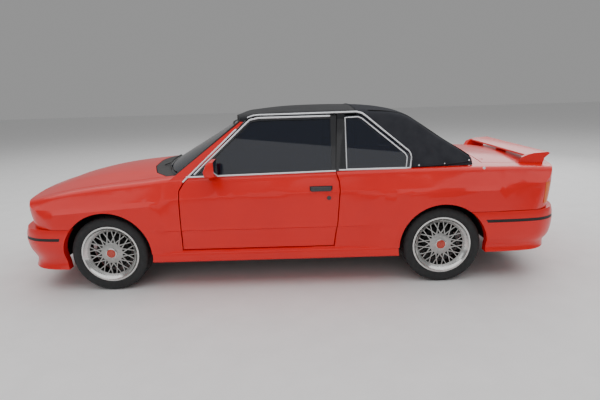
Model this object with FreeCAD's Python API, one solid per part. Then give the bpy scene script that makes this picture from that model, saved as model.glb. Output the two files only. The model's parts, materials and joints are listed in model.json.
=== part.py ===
# A two-door car with a lift-off roof panel and a folding fabric rear top, built at its real size.
# +Z is up, the nose points along -X, the left side is -Y, and the origin is on the ground at mid-length.
import FreeCAD, Part
import math
import os

V = FreeCAD.Vector

# Overall lengths and the wheels
front_overhang = 790.0
wheelbase = 2565.0
rear_overhang = 990.0
wheel_plane = 703.0
tyre_radius = 296.0
tyre_width = 205.0
rim_radius = 216.0
rim_lip = 6.0
seat_gap = 0.3

# Heights of the body
floor_height = 190.0
sill_height = 300.0
rub_height = 480.0
waist_front = 655.0
waist_door = 735.0
waist_rear = 768.0
nose_top = 722.0
bonnet_rear = 917.0
bonnet_crown = 62.0
belt_front = 846.0
belt_rear = 884.0
deck_height = 934.0
roof_height = 1362.0

# Half widths of the body
belt_half = 765.0
waist_half = 817.0
rub_half = 824.0
flare_half = 841.0
sill_half = 812.0
roof_half = 604.0
bonnet_half = 650.0
lid_half = 600.0

# Wall thicknesses and gaps
skin = 22.0
lid_skin = 26.0
nose_wall = 70.0
glass = 5.0
cloth = 26.0
shut_gap = 8.0
panel_gap = 6.0
joint_gap = 0.4
arch_front = 340.0
arch_rear = 334.0

# Stations along the car, each from the axle that it belongs to
x_front = -(front_overhang + wheelbase + rear_overhang) / 2
x_axle_f = x_front + front_overhang
x_axle_r = x_axle_f + wheelbase
x_rear = x_axle_r + rear_overhang
nose_setback = 62.0
tail_setback = 52.0
x_nose = x_front + nose_setback
x_tail = x_rear - tail_setback
x_door_f = x_axle_f + 580.0
x_door_r = x_axle_r - 800.0
x_scuttle = x_axle_f + 300.0
x_screen_mid = x_axle_f + 346.0
x_screen_side = x_axle_f + 536.0
x_header_mid = x_axle_f + 962.0
x_header_side = x_axle_f + 1044.0
x_roof_seam = x_axle_r - 638.0
x_hood_kink = x_axle_r - 190.0
x_hood_end = x_axle_r + 318.0
x_lid_f = x_axle_r + 345.0

os.makedirs("parts", exist_ok=True)


def save(name, shape):
    shape.exportStep("parts/" + name + ".step")


def smooth(points):
    """A smooth line through a few (x, value) points that never overshoots them."""
    xs = [p[0] for p in points]
    vs = [p[1] for p in points]
    gaps = [xs[i + 1] - xs[i] for i in range(len(xs) - 1)]
    rises = [(vs[i + 1] - vs[i]) / gaps[i] for i in range(len(gaps))]
    slopes = [rises[0]]
    for i in range(1, len(gaps)):
        same_way = rises[i - 1] * rises[i] > 0
        slopes.append(2 * rises[i - 1] * rises[i] / (rises[i - 1] + rises[i]) if same_way else 0.0)
    slopes.append(rises[-1])

    def value(x):
        if x <= xs[0]:
            return vs[0]
        if x >= xs[-1]:
            return vs[-1]
        i = max(k for k in range(len(gaps)) if xs[k] <= x)
        t = (x - xs[i]) / gaps[i]
        a = (1 + 2 * t) * (1 - t) ** 2 * vs[i] + t * (1 - t) ** 2 * gaps[i] * slopes[i]
        b = t * t * (3 - 2 * t) * vs[i + 1] + t * t * (t - 1) * gaps[i] * slopes[i + 1]
        return a + b

    return value


def knots(count):
    """The degree, knots and repeats of a smooth line with this many control points."""
    degree = min(3, count - 1)
    inner = count - degree - 1
    return degree, [float(k) for k in range(inner + 2)], [degree + 1] + [1] * inner + [degree + 1]


def strip(rows):
    """A smooth surface along the rows, each row a few control points across the strip."""
    along, along_knots, along_repeats = knots(len(rows))
    across, across_knots, across_repeats = knots(len(rows[0]))
    surface = Part.BSplineSurface()
    surface.buildFromPolesMultsKnots(
        [[V(*p) for p in row] for row in rows],
        along_repeats, across_repeats, along_knots, across_knots, False, False, along, across)
    return surface.toShape()


def thread(points):
    """A smooth edge with these control points, the border of a strip."""
    degree, places, repeats = knots(len(points))
    curve = Part.BSplineCurve()
    curve.buildFromPolesMultsKnots([V(*p) for p in points], repeats, places, False, degree)
    return curve.toShape()


def net_solid(sections):
    """A closed solid whose skin is one smooth strip for each stretch of the closed sections."""
    faces = [strip([section[k] for section in sections]) for k in range(len(sections[0]))]
    for section in (sections[0], sections[-1]):
        faces.append(Part.Face(Part.Wire([thread(points) for points in section])))
    solid = Part.makeSolid(Part.makeShell(faces))
    if not solid.isClosed():
        joined = Part.makeShell(faces)
        joined.sewShape()
        solid = Part.makeSolid(joined)
    if solid.Volume < 0:
        solid.reverse()
    return solid


def box(x0, x1, y0, y1, z0, z1):
    return Part.makeBox(x1 - x0, y1 - y0, z1 - z0, V(x0, y0, z0))


def side_prism(points, y0, y1):
    """A solid with its outline in the side view, from y0 to y1."""
    wire = Part.makePolygon([V(x, y0, z) for x, z in points] + [V(points[0][0], y0, points[0][1])])
    return Part.Face(wire).extrude(V(0, y1 - y0, 0))


def plan_prism(points, z0, z1):
    """A solid with its outline in the plan view, from z0 to z1."""
    wire = Part.makePolygon([V(x, y, z0) for x, y in points] + [V(points[0][0], points[0][1], z0)])
    return Part.Face(wire).extrude(V(0, 0, z1 - z0))


def end_prism(points, x0, x1):
    """A solid with its outline seen from the end, from x0 to x1."""
    wire = Part.makePolygon([V(x0, y, z) for y, z in points] + [V(x0, points[0][0], points[0][1])])
    return Part.Face(wire).extrude(V(x1 - x0, 0, 0))


def rod(a, b, radius):
    start = V(*a)
    way = V(*b) - start
    return Part.makeCylinder(radius, way.Length, start, way)


def mirrored(shape):
    return shape.mirror(V(0, 0, 0), V(0, 1, 0))


def fuse(shapes):
    return shapes[0].multiFuse(shapes[1:]).removeSplitter() if len(shapes) > 1 else shapes[0]


def both(shape):
    """A piece and its twin on the other side, as two solids in one shape."""
    return Part.makeCompound([shape, mirrored(shape)])


# The lines that shape the lower body, each a height or half width along the car
side_z = smooth([
    (x_nose, nose_top - 28),
    (x_axle_f - 480, nose_top + 28),
    (x_axle_f - 130, nose_top + 86),
    (x_axle_f + 280, nose_top + 123),
    (x_scuttle + 230, belt_front + 22),
    (x_door_f + 300, belt_front + 26),
    (x_door_r, belt_rear),
    (x_axle_r, belt_rear + 10),
    (x_axle_r + 600, belt_rear),
    (x_tail, belt_rear - 16),
])
crown = smooth([
    (x_nose, 26),
    (x_nose + 240, bonnet_crown - 12),
    (x_axle_f, bonnet_crown + 2),
    (x_scuttle + 100, bonnet_crown - 8),
    (x_door_f + 300, 52),
    (x_hood_kink, 42),
    (x_lid_f, 40),
    (x_tail, 28),
])
waist_z = smooth([
    (x_nose, waist_front - 16),
    (x_axle_f - 220, waist_front + 20),
    (x_door_f, waist_door - 14),
    (x_door_r - 300, waist_door + 14),
    (x_axle_r, waist_door + 20),
    (x_tail, waist_rear),
])
waist_y = smooth([
    (x_nose, waist_half - 45),
    (x_axle_f - 220, waist_half - 12),
    (x_door_f, waist_half - 2),
    (x_door_f + 700, waist_half + 3),
    (x_axle_r, waist_half),
    (x_tail - 120, waist_half - 28),
    (x_tail, waist_half - 42),
])
belt_y = smooth([
    (x_nose, belt_half - 70),
    (x_axle_f - 400, belt_half - 22),
    (x_axle_f + 200, belt_half - 14),
    (x_door_f + 300, belt_half),
    (x_door_r + 300, belt_half),
    (x_axle_r + 500, belt_half - 22),
    (x_tail, belt_half - 52),
])
shoulder_drop = 34.0
shoulder_run = smooth([
    (x_axle_f + 200, 58),
    (x_door_f + 100, 32),
    (x_door_r + 200, 32),
    (x_axle_r + 100, 56),
])
ledge_drop = 34.0
rub_step = 6.0
crease_y = smooth([(x_nose, 330), (x_axle_f, 400), (x_scuttle, 470), (x_tail, 500)])
crease_rise = smooth([(x_nose, 3), (x_axle_f - 400, 9), (x_scuttle, 9), (x_door_f + 200, 0), (x_tail, 0)])


flare_full = 335.0
flare_runs = ((x_axle_f, 190.0, 210.0), (x_axle_r, 430.0, 300.0))


def flare(x):
    """How far the box flares stand out here, from 0 to 1, with a run ahead of each axle and one behind."""
    out = 0.0
    for axle, ahead, behind in flare_runs:
        run = ahead if x < axle else behind
        t = min(max(1 - (abs(x - axle) - flare_full) / run, 0.0), 1.0)
        out = max(out, t * t * (3 - 2 * t))
    return out


def body_section(x, inset):
    """One closed section of the lower body, moved inwards by inset, as stretches of control points."""
    out = flare(x)
    z_side = side_z(x) - inset
    z_belt = side_z(x) - shoulder_drop - inset / 2
    z_waist = waist_z(x)
    y_belt = belt_y(x) - inset
    y_waist = waist_y(x) - inset
    y_rub = rub_half + out * (flare_half - rub_half) - inset
    y_ledge = y_waist + 2 + out * (flare_half - 4 - waist_y(x))
    y_sill = sill_half + out * (flare_half - 2 - sill_half) - inset
    low = sill_height - 2 * inset
    y_top = y_belt - shoulder_run(x)
    step = rub_step * (1.15 - out)
    points = [
        [(y_sill, low), (y_rub - step, rub_height - rub_step)],
        [(y_rub - step, rub_height - rub_step), (y_rub, rub_height)],
        [(y_rub, rub_height), (y_ledge, z_waist - ledge_drop)],
        [(y_ledge, z_waist - ledge_drop), (y_waist, z_waist - inset / 4)],
        [(y_waist, z_waist - inset / 4), (y_belt, z_belt)],
        [(y_belt, z_belt), (y_belt - 9, z_side - 3), (y_top, z_side)],
    ]
    y_crease = crease_y(x)
    fall = crown(x) / y_top ** 2
    z_mid = z_side + crown(x) + crease_rise(x)
    z_crease = z_mid - fall * y_crease ** 2
    z_between = z_side + crown(x) - fall * y_top * y_crease - crease_rise(x) / 2
    points.append([(y_top, z_side), ((y_top + y_crease) / 2, z_between), (y_crease, z_crease)])
    other = [[(-y, z) for y, z in reversed(stretch)] for stretch in reversed(points)]
    top = [(y_crease, z_crease), (0.0, z_mid + fall * y_crease ** 2), (-y_crease, z_crease)]
    bottom = [(-y_sill, low), (y_sill, low)]
    return [[(x, y, z) for y, z in stretch] for stretch in [bottom] + points + [top] + other]


lean_nose = smooth([(200, 80), (500, 30), (640, 0), (700, 3), (740, 24), (800, 110), (1000, 160)])
lean_tail = smooth([(200, 40), (550, 24), (780, 2), (880, 0), (930, 14), (1000, 60)])
corner_bow = [(0.0, 0), (0.36, 14), (0.62, 60), (0.735, 116), (0.80, 210), (0.90, 480)]


def plan_outline(z, inset):
    """The bowed nose and tail seen from above at one height, moved inwards by inset."""
    nose_x = x_nose + lean_nose(z) + inset
    tail_x = x_tail - lean_tail(z) - inset
    rows = []
    for end_x, way in ((nose_x, 1), (tail_x, -0.85)):
        side = [(end_x + way * d, y * 1000.0 * way / abs(way), z) for y, d in corner_bow]
        other = [(x, -y, z) for x, y, _ in side[:0:-1]]
        rows.append(other + side)
    nose, tail = rows
    return [nose, [nose[-1], tail[0]], tail, [tail[-1], nose[0]]]


def body_block(inset):
    """The whole lower body as one solid, moved inwards by inset."""
    stations = [x_nose - 60, x_nose + 60, x_nose + 180]
    stations += [x_axle_f + d for d in (-470, -400, -335, -200, 0, 200, 335, 400, 460, 520, 570)]
    stations += [x_door_f + 200, x_door_f + 450, x_door_r - 140]
    rear_runs = (-770, -690, -610, -530, -450, -390, -335, -200, 0, 200, 335, 420, 500, 600)
    stations += [x_axle_r + d for d in rear_runs]
    stations += [x_axle_r + 700, x_tail - 60, x_tail + 60]
    main = net_solid([body_section(x, inset) for x in stations])
    levels = (200 - 2 * inset, 400, 560, 640, 700, 745, 800, 900, 1000)
    trim = net_solid([plan_outline(float(z), inset) for z in levels])
    return main.common(trim)


def ring_plan(outline, levels, inset):
    """A bumper's solid: outlines of one end of the car stacked over its heights."""
    rows = []
    for z in levels:
        rows.append(outline(float(z), inset))
    return net_solid(rows)


front_reach = 545.0
rear_reach = 800.0
bumper_bow = [(0.0, 0), (0.36, 14), (0.62, 64), (0.715, 112), (0.79, 190), (0.843, 320)]
lean_front = smooth([(187, 36), (225, 44), (255, 42), (320, 14), (393, 0), (460, 0), (512, 22)])
lean_rear = smooth([(240, 52), (300, 40), (330, 14), (424, 3), (513, 0), (562, 17)])
tuck_front = smooth([(187, 28), (225, 44), (255, 46), (320, 16), (393, 0), (460, 0), (512, 8)])
tuck_rear = smooth([(240, 24), (262, 38), (290, 42), (335, 12), (424, 0), (513, 0), (562, 8)])
front_levels = (187, 200, 225, 255, 290, 330, 393, 460, 512)
rear_levels = (240, 252, 270, 298, 335, 424, 513, 562)


def bumper_outline(end_x, way, lean, tuck, reach):
    """The rule for a bumper's outline at one height, from its own end of the car back to its reach."""
    def outline(z, inset):
        side = []
        for y, d in bumper_bow + [(bumper_bow[-1][0], reach)]:
            back = inset if d < reach else 0
            x = end_x + way * (d + lean(z) * (1 - d / reach) + back)
            side.append((x, max(y * 1000.0 - tuck(z) - inset, 0.0), z))
        other = [(x, -y, z) for x, y, z in side[:0:-1]]
        row = other + side
        return [row, [row[-1], row[0]]]
    return outline


def glass_y(z):
    """The half width of the side glass plane at one height."""
    return glass_base - (z - belt_rear) * (glass_base - roof_half) / (frame_top - belt_rear)


def slab(z0, z1, outside, thick):
    """A leaning plate in the plane of the left side glass, outside it by some amount."""
    y0 = -glass_y(z0) - outside
    y1 = -glass_y(z1) - outside
    return end_prism([(y0, z0), (y1, z1), (y1 + thick, z1), (y0 + thick, z0)], x_nose, x_tail)


def door_outline(grow):
    """The shut line of the left door in the side view, as (x, z, y of the skin there, rear edge or not)."""
    g = grow
    return [
        (x_door_f - g, sill_height + 28 - g, rub_half, False),
        (x_door_f - g, waist_door + 10, waist_half, False),
        (x_door_f - 2 - g, belt_front - 70, waist_half, False),
        (x_door_f + 38 - g, belt_front - 4 + g / 2, waist_half, False),
        (x_header_side - 214 - g, pillar_knee + g / 2, waist_half, False),
        (x_header_side + 39 - g, frame_top - 25 + g / 2, waist_half, False),
        (x_header_side + 130, frame_top + g, waist_half, False),
        (x_door_r + 10 + g, frame_top + g, roof_half, True),
        (x_door_r - 10 + g, belt_rear - 10, glass_base, True),
        (x_door_r + 9 + g, belt_rear - 70, belt_half, True),
        (x_door_r + 10 + g, waist_door - 42, waist_half, True),
        (x_door_r - 4 + g, rub_height + 22, rub_half, True),
        (x_door_r - 34 + g, sill_height + 28 - g, sill_half, True),
    ]


def door_region(grow, far, near):
    """The room of the left door from y = -far to y = -near, its rear face leaning so that it swings clear."""
    wires = []
    for y in (far, near):
        points = []
        for x, z, skin_y, rear in door_outline(grow):
            points.append(V(x + (y - skin_y) * shut_lean if rear else x, -y, z))
        wires.append(Part.makePolygon(points + [points[0]]))
    return Part.makeLoft(wires, True, True)


glass_base = 735.0
frame_top = roof_height - 66.0
above_roof = roof_height + 138.0
pillar_knee = belt_front + 0.378 * (frame_top - belt_front)
shut_lean = 0.29
door_inner = 706.0
door_frame = 30.0

blocks = {}


def block(inset):
    """The lower body moved inwards by inset, made once for each inset."""
    if inset not in blocks:
        blocks[inset] = body_block(inset)
    return blocks[inset]


outer = block(0.0)
outer_clear = block(-seat_gap)
inner_clear = block(skin + seat_gap)
shell = outer.cut(block(skin))

# Wheels, first the left ones about their own middle with the open side facing -Y
bead_half = 0.40 * tyre_width
flange = 8.0
hub_back = 10.0
disc_front = 56.0
disc_back = 44.0
disc_radius = 174.0
boss_radius = 84.0
cap_radius = 36.0
brake_radius = 132.0
lattice_count = 16
lattice_bar = 7.0
tyre_facets = 60
facet_grow = 1 / math.cos(math.pi / tyre_facets)
bead_top = (rim_radius + rim_lip + 1) * facet_grow
bead_seat = (rim_radius + seat_gap) * facet_grow
tyre_profile = [
    (tyre_radius, 0.38 * tyre_width), (tyre_radius - 7, 0.45 * tyre_width),
    (tyre_radius - 34, 0.50 * tyre_width),
    (bead_top + 4, bead_half + 12), (bead_top, bead_half - seat_gap), (bead_seat, bead_half - seat_gap),
]


def revolved(points):
    """A solid of revolution about the wheel's axle from (y, radius) points."""
    wire = Part.makePolygon([V(0, y, -r) for y, r in points] + [V(0, points[0][0], -points[0][1])])
    return Part.Face(wire).revolve(V(0, 0, 0), V(0, 1, 0), 360)


def tyre():
    """A ring of flat facets about the axle, one closed loop of the profile at each step around."""
    side = [(y, r) for r, y in tyre_profile]
    loop = side + [(-y, r) for y, r in reversed(side)]

    def corner(k, y, r):
        turn = 2 * math.pi * (k % tyre_facets) / tyre_facets
        return V(r * math.sin(turn), y, -r * math.cos(turn))

    facets = []
    for k in range(tyre_facets):
        for (y0, r0), (y1, r1) in zip(loop, loop[1:] + loop[:1]):
            corners = [corner(k, y0, r0), corner(k + 1, y0, r0), corner(k + 1, y1, r1), corner(k, y1, r1)]
            facets.append(Part.Face(Part.makePolygon(corners + corners[:1])))
    skin_faces = Part.makeShell(facets)
    skin_faces.sewShape()
    ring = Part.makeSolid(skin_faces)
    if ring.Volume < 0:
        ring.reverse()
    return ring


def spot(radius, degrees):
    """A point on the wheel's face at a radius and an angle, as (x, z)."""
    return radius * math.cos(math.radians(degrees)), radius * math.sin(math.radians(degrees))


def bar_line(root, tip, side):
    """One long edge of a lattice bar, from the boss to the outer ring, as two points."""
    x0, z0 = spot(boss_radius, root)
    x1, z1 = spot(disc_radius, tip)
    length = math.hypot(x1 - x0, z1 - z0)
    dx = -(z1 - z0) / length * side * lattice_bar / 2
    dz = (x1 - x0) / length * side * lattice_bar / 2
    return (x0 + dx, z0 + dz), (x1 + dx, z1 + dz)


def meet(one, two):
    """Where two lines cross, each given by two points."""
    (ax, az), (bx, bz) = one
    (cx, cz), (dx, dz) = two
    cross = (bx - ax) * (dz - cz) - (bz - az) * (dx - cx)
    t = ((cx - ax) * (dz - cz) - (cz - az) * (dx - cx)) / cross
    return ax + t * (bx - ax), az + t * (bz - az)


def lattice_windows():
    """The openings between the crossing bars: beside each boss root, past each crossing and between."""
    step = 360.0 / lattice_count
    reach = 0.76 * step
    windows = []
    for k in range(lattice_count):
        a = k * step
        right = bar_line(a, a + reach, 1)
        right_low = bar_line(a, a + reach, -1)
        left = bar_line(a + step, a + step - reach, -1)
        left_low = bar_line(a + step, a + step - reach, 1)
        before = bar_line(a - step, a - step + reach, 1)
        windows.append([spot(boss_radius, a + 5), meet(right, left), spot(boss_radius, a + step - 5)])
        windows.append([
            meet(right_low, left_low), left_low[1], spot(disc_radius, a + step / 2), right_low[1]])
        windows.append([meet(right_low, bar_line(a, a - reach, 1)), meet(right_low, left),
                        left[1], before[1], meet(bar_line(a, a - reach, 1), before)])
    prisms = []
    for points in windows:
        wire = Part.makePolygon([V(x, -disc_front - 6, z) for x, z in points + points[:1]])
        prisms.append(Part.Face(wire).extrude(V(0, disc_front - disc_back + 12, 0)))
    return Part.makeCompound(prisms)


def rim():
    half = bead_half + flange
    profile = [
        (-half, rim_radius + rim_lip), (-bead_half, rim_radius + rim_lip), (-bead_half, rim_radius),
        (bead_half, rim_radius), (bead_half, rim_radius + rim_lip), (half, rim_radius + rim_lip),
        (half, rim_radius - 8), (half - 30, rim_radius - 12), (-disc_back + 12, disc_radius + 14),
        (-disc_back, disc_radius), (-disc_back, boss_radius - 14), (-hub_back - 14, boss_radius - 20),
        (-hub_back - 14, brake_radius), (hub_back - 14, brake_radius), (hub_back - 14, boss_radius - 20),
        (hub_back, boss_radius - 20), (hub_back, 0), (-disc_front - 14, 0),
        (-disc_front - 14, cap_radius - 4),
        (-disc_front - 8, cap_radius), (-disc_front - 4, boss_radius - 14), (-disc_front, boss_radius),
        (-disc_front, disc_radius), (-half + 12, rim_radius - 14), (-half, rim_radius - 6),
    ]
    return revolved(profile).cut(lattice_windows())


def at_wheel(x, shape):
    return shape.translated(V(x, -wheel_plane, tyre_radius))


tyre_left = tyre()
rim_left = rim()
for name, x in (("front", x_axle_f), ("rear", x_axle_r)):
    for part_name, shape in (("tyre_", tyre_left), ("rim_", rim_left)):
        save(part_name + name + "_left", at_wheel(x, shape))
        save(part_name + name + "_right", mirrored(at_wheel(x, shape)))
hub_face = wheel_plane - hub_back - seat_gap


def across(x, z, radius, y0=-1000.0, y1=0.0):
    """A round bar along Y about the line at (x, z)."""
    return Part.makeCylinder(radius, y1 - y0, V(x, y0, z), V(0, 1, 0))


def at_wheel_line(x, radius):
    """The room of both wheels of an axle, from each side inwards."""
    bars = [across(x, tyre_radius, radius, -1000, -400), across(x, tyre_radius, radius, 400, 1000)]
    return Part.makeCompound(bars)


arch_cut_f = across(x_axle_f, tyre_radius, arch_front, -1000, -400)
arch_cut_r = across(x_axle_r, tyre_radius, arch_rear, -1000, -400)

# Roof and soft top lines, each a height or half width along the car
roof_mid = smooth([
    (x_header_mid - 20, roof_height - 72), (x_header_mid + 75, roof_height - 38),
    (x_header_mid + 290, roof_height - 11), (x_axle_r - 1100, roof_height),
    (x_axle_r - 780, roof_height - 1),
    (x_axle_r - 440, roof_height - 18), (x_axle_r - 246, roof_height - 60),
    (x_axle_r - 165, roof_height - 90),
    (x_axle_r - 60, roof_height - 160), (x_axle_r + 137, roof_height - 302),
    (x_hood_end - 50, roof_height - 400),
    (x_hood_end + 40, roof_height - 452),
])
roof_edge = smooth([
    (x_header_mid - 20, frame_top - 14), (x_header_side, frame_top + 2), (x_axle_r - 1180, frame_top + 18),
    (x_axle_r - 680, frame_top + 20), (x_axle_r - 440, frame_top + 8), (x_axle_r - 270, frame_top - 22),
    (x_axle_r - 165, frame_top - 84), (x_axle_r + 73, frame_top - 250), (x_hood_end - 130, frame_top - 318),
    (x_hood_end - 70, frame_top - 360), (x_hood_end + 40, frame_top - 420),
])
roof_y = smooth([
    (x_header_mid - 20, roof_half - 34), (x_header_side, roof_half - 24), (x_axle_r - 1180, roof_half - 6),
    (x_axle_r - 640, roof_half - 4), (x_axle_r - 300, roof_half - 22), (x_axle_r - 60, roof_half - 10),
    (x_hood_end - 130, roof_half + 46), (x_hood_end + 40, roof_half + 80),
])
roof_skin = 28.0
rail_depth = 36.0
panel_half = roof_half - 52.0


def roof_section(x, inset):
    """One closed section of the roof and soft top, moved inwards by inset."""
    edge_z = roof_edge(x) - inset
    edge_y = roof_y(x) + 6 - inset
    top_z = edge_z + 16
    low = belt_rear - 80 - 1.5 * inset
    low_y = glass_base + 16 - inset
    half = [
        [(low_y, low), (edge_y, edge_z - 12)],
        [(edge_y, edge_z - 12), (edge_y - 6, edge_z + 8), (edge_y - 60, top_z + 4)],
    ]
    other = [[(-y, z) for y, z in reversed(stretch)] for stretch in reversed(half)]
    mid_z = roof_mid(x) - inset
    top = [(edge_y - 60, top_z + 4), (0.0, 2 * mid_z - top_z - 4), (-edge_y + 60, top_z + 4)]
    bottom = [(-low_y, low), (low_y, low)]
    return [[(x, y, z) for y, z in stretch] for stretch in [bottom] + half + [top] + other]


def roof_block(inset):
    """The whole roof and soft top as one solid, moved inwards by inset."""
    steps = [x_header_mid - 20, x_header_mid + 40, x_header_side, x_header_mid + 290, x_axle_r - 1100]
    steps += [x_axle_r + d for d in (-780, -560, -440, -340, -246, -165, -60, 40, 137)]
    steps += [x_hood_end - 130, x_hood_end - 50, x_hood_end + 40]
    return net_solid([roof_section(x, inset) for x in steps])


roof_out = roof_block(0)
roof_shell = roof_out.cut(roof_block(roof_skin))
under_roof = roof_block(roof_skin + seat_gap)
rail_block = under_roof.cut(roof_block(roof_skin + rail_depth))

# The line of the windscreen: its X at mid-car and at the pillar, and its half width, at a height
screen_foot = 850.0
screen_head = roof_height - 99.0
screen_low = 882.0


def screen_at(low_value, high_value, z):
    """A value that changes evenly up the windscreen."""
    return low_value + (high_value - low_value) * (z - screen_low) / (screen_head - screen_low)


def screen_wire(z, ahead, thick):
    """A plan section of the windscreen at one height: a bowed strip of some thickness."""
    x_mid = screen_at(x_screen_mid - 36, x_header_mid + 8, z) + ahead
    x_side = screen_at(x_screen_side, x_header_side - 4, z) + ahead
    half = screen_at(660, 556, z)
    front = Part.Arc(V(x_side, -half, z), V(x_mid, 0, z), V(x_side, half, z)).toShape()
    back = Part.Arc(V(x_side + thick, half, z), V(x_mid + thick, 0, z), V(x_side + thick, -half, z)).toShape()
    sides = [Part.makeLine(V(x_side, half, z), V(x_side + thick, half, z)),
             Part.makeLine(V(x_side + thick, -half, z), V(x_side, -half, z))]
    return Part.Wire([front, sides[0], back, sides[1]])


def screen_solid(z0, z1, ahead, thick):
    return Part.makeLoft([screen_wire(z0, ahead, thick), screen_wire(z1, ahead, thick)], True, True)


# Hinge lines: each door about an upright pin, bonnet and boot lid about a line across the car
x_door_pin = x_door_f + 42.0
y_door_pin = -(rub_half - 16.0)
door_pin_heights = (sill_height + 100.0, sill_height + 280.0)
pin_radius = 4.0
eye_radius = 6.5
pin_gap = 0.3
lug_width = 12.0
x_bonnet_pin = x_nose + 19.0
z_bonnet_pin = nose_top - 10.0
lid_round = 42.0
x_lid_pin = x_lid_f + lid_round
z_lid_pin = 905.0
bonnet_lug_y = 136.0
lid_lug_y = 490.0

# Door posts, sills, pillars, header, roof rails and hoop
half_in = 658.0
plate = 18.0
x_toe = x_axle_f + 430.0
x_heel = x_axle_r - 470.0
x_boot = x_axle_r - 60.0
sill_top = sill_height + 20.0
hoop_x0 = x_door_r + 18.0
hoop_x1 = hoop_x0 + 56.0
rail_y = -panel_half - seat_gap
door_room = door_region(shut_gap, 1000, 300)


def bow_face(x_mid, x_side, half, z, depth):
    """A plan outline with a bowed front through three points and a straight back, as a face."""
    a = V(x_side, -half, z)
    b = V(x_side, half, z)
    c = V(x_side + depth, half, z)
    d = V(x_side + depth, -half, z)
    front = Part.Arc(a, V(x_mid, 0, z), b).toShape()
    return Part.Face(Part.Wire([front, Part.makeLine(b, c), Part.makeLine(c, d), Part.makeLine(d, a)]))


header_low = frame_top - 66.0
header_room = bow_face(x_header_mid, x_header_side, roof_half, header_low, 3000).extrude(V(0, 0, 300))
header = rail_block.common(header_room).common(
    box(x_header_mid - 50, x_header_side + 30, -900, 900, header_low, above_roof))
hoop = rail_block.common(box(hoop_x0, x_roof_seam - 4, -900, 900, frame_top - 20, above_roof))
rails = roof_out.common(
    box(x_header_side + 30, x_roof_seam - 4, -900, rail_y, frame_top + shut_gap, above_roof))
corner = roof_out.common(header_room).common(
    box(x_header_mid, x_header_side + 80, -900, rail_y, frame_top - 34, above_roof))
pillar_foot = 800.0
pillar_side = slab(pillar_foot, frame_top + 40, 4, 46)
x_foot_side = screen_at(x_screen_side, x_header_side, pillar_foot)
pillar_a = pillar_side.common(side_prism([
    (x_foot_side, pillar_foot), (x_screen_side, screen_low), (x_header_side, screen_head + 4),
    (x_header_side + 20, frame_top - 6), (x_header_side + 100, frame_top + 6),
    (x_header_side + 100, frame_top - 40),
    (x_door_f + 100, pillar_foot),
], -1000, 0)).cut(door_room)
pillar_b = pillar_side.common(box(hoop_x0 - 40, hoop_x1, -900, 0, pillar_foot, frame_top + 36))
pillar_b = pillar_b.common(roof_out).cut(door_room)
post_a = box(x_toe, x_door_f - shut_gap, -rub_half, 10 - half_in, sill_top, 900).common(inner_clear)
post_a = post_a.cut(
    box(x_toe - 1, x_scuttle + 150 + panel_gap, -bonnet_half - panel_gap, 0, pillar_foot, 900))
post_b = box(x_door_r - 80, hoop_x1 + 40, -rub_half, 10 - half_in, sill_top, 900)
post_b = post_b.common(inner_clear).cut(door_room)


def door_strap(z):
    """A door hinge's fixed half: an eye with its pin, and a bent arm to the door post."""
    arm = plan_prism([
        (x_door_pin - 6, y_door_pin), (x_door_pin + 6, y_door_pin), (x_door_pin + 6, y_door_pin + 66),
        (x_door_f - shut_gap - 10, y_door_pin + 66), (x_door_f - shut_gap - 10, y_door_pin + 54),
        (x_door_pin - 6, y_door_pin + 54)], z - 8, z + 8)
    eye = Part.makeCylinder(eye_radius, 16, V(x_door_pin, y_door_pin, z - 8))
    pin = Part.makeCylinder(pin_radius, 44, V(x_door_pin, y_door_pin, z - 22))
    return fuse([arm, eye, pin])


def strap_pocket(z):
    """The room that a door needs for one strap over its whole swing."""
    room = box(x_door_f - 20, x_door_pin + 9, y_door_pin - 6, y_door_pin + 69, z - 9, z + 9)
    eye = Part.makeCylinder(eye_radius + 0.5, 18, V(x_door_pin, y_door_pin, z - 9))
    bore = Part.makeCylinder(pin_radius + pin_gap, 46, V(x_door_pin, y_door_pin, z - 23))
    return fuse([room, eye, bore])


frame_side = [rails.cut(door_room), corner.cut(door_room), pillar_a, pillar_b, post_a, post_b]
frame_side += [door_strap(z) for z in door_pin_heights]
cabin_frame = fuse([header, hoop] + frame_side + [mirrored(p) for p in frame_side])
save("cabin_frame", cabin_frame)
pillars = fuse([pillar_a, pillar_b])

# Windscreen and the scuttle panel ahead of it
screen = screen_solid(screen_foot, screen_head, 0, 2 * glass)
save("windscreen", screen.cut(cabin_frame).cut(outer_clear))
scuttle_line = [
    (x_scuttle - 58, 0), (x_scuttle - 34, 300), (x_scuttle + 40, 520), (x_scuttle + 150, bonnet_half)]


def behind_bonnet(back):
    """The plan outline of the bonnet's rear edge, moved back by some amount."""
    right = [(x + back, y) for x, y in scuttle_line]
    return [(x, -y) for x, y in reversed(right[1:])] + right


scuttle_plan = behind_bonnet(panel_gap) + [(x_door_f, bonnet_half), (x_door_f, -bonnet_half)]
scuttle = outer.cut(block(14.0)).common(plan_prism(scuttle_plan, 780, 1000))
scuttle = scuttle.common(screen_solid(780, 1000, -600, 600 - seat_gap)).cut(cabin_frame)
save("scuttle", scuttle)

# Front wings, from the nose corner back to the door, under the bonnet's shut line
wing_room = side_prism([
    (x_front, front_levels[-1] + 4), (x_axle_f - 150, front_levels[-1] + 4), (x_axle_f, sill_height),
    (x_door_f - shut_gap, sill_height), (x_door_f - shut_gap, belt_front - 66),
    (x_door_f + 26, belt_front + 4), (x_door_f + 26, 1100), (x_front, 1100),
], -1000, -bonnet_half - panel_gap)
wing_left = shell.common(wing_room).cut(arch_cut_f).cut(pillars)
save("front_wings", both(wing_left))

# Bonnet with its two hinge eyes, and the nose panel with their lugs
bonnet_plan = behind_bonnet(0) + [(x_front - 10, bonnet_half), (x_front - 10, -bonnet_half)]
bonnet_low = z_bonnet_pin - 20.0
nose_low = 470.0
nose_high = bonnet_low - shut_gap - 2


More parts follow.
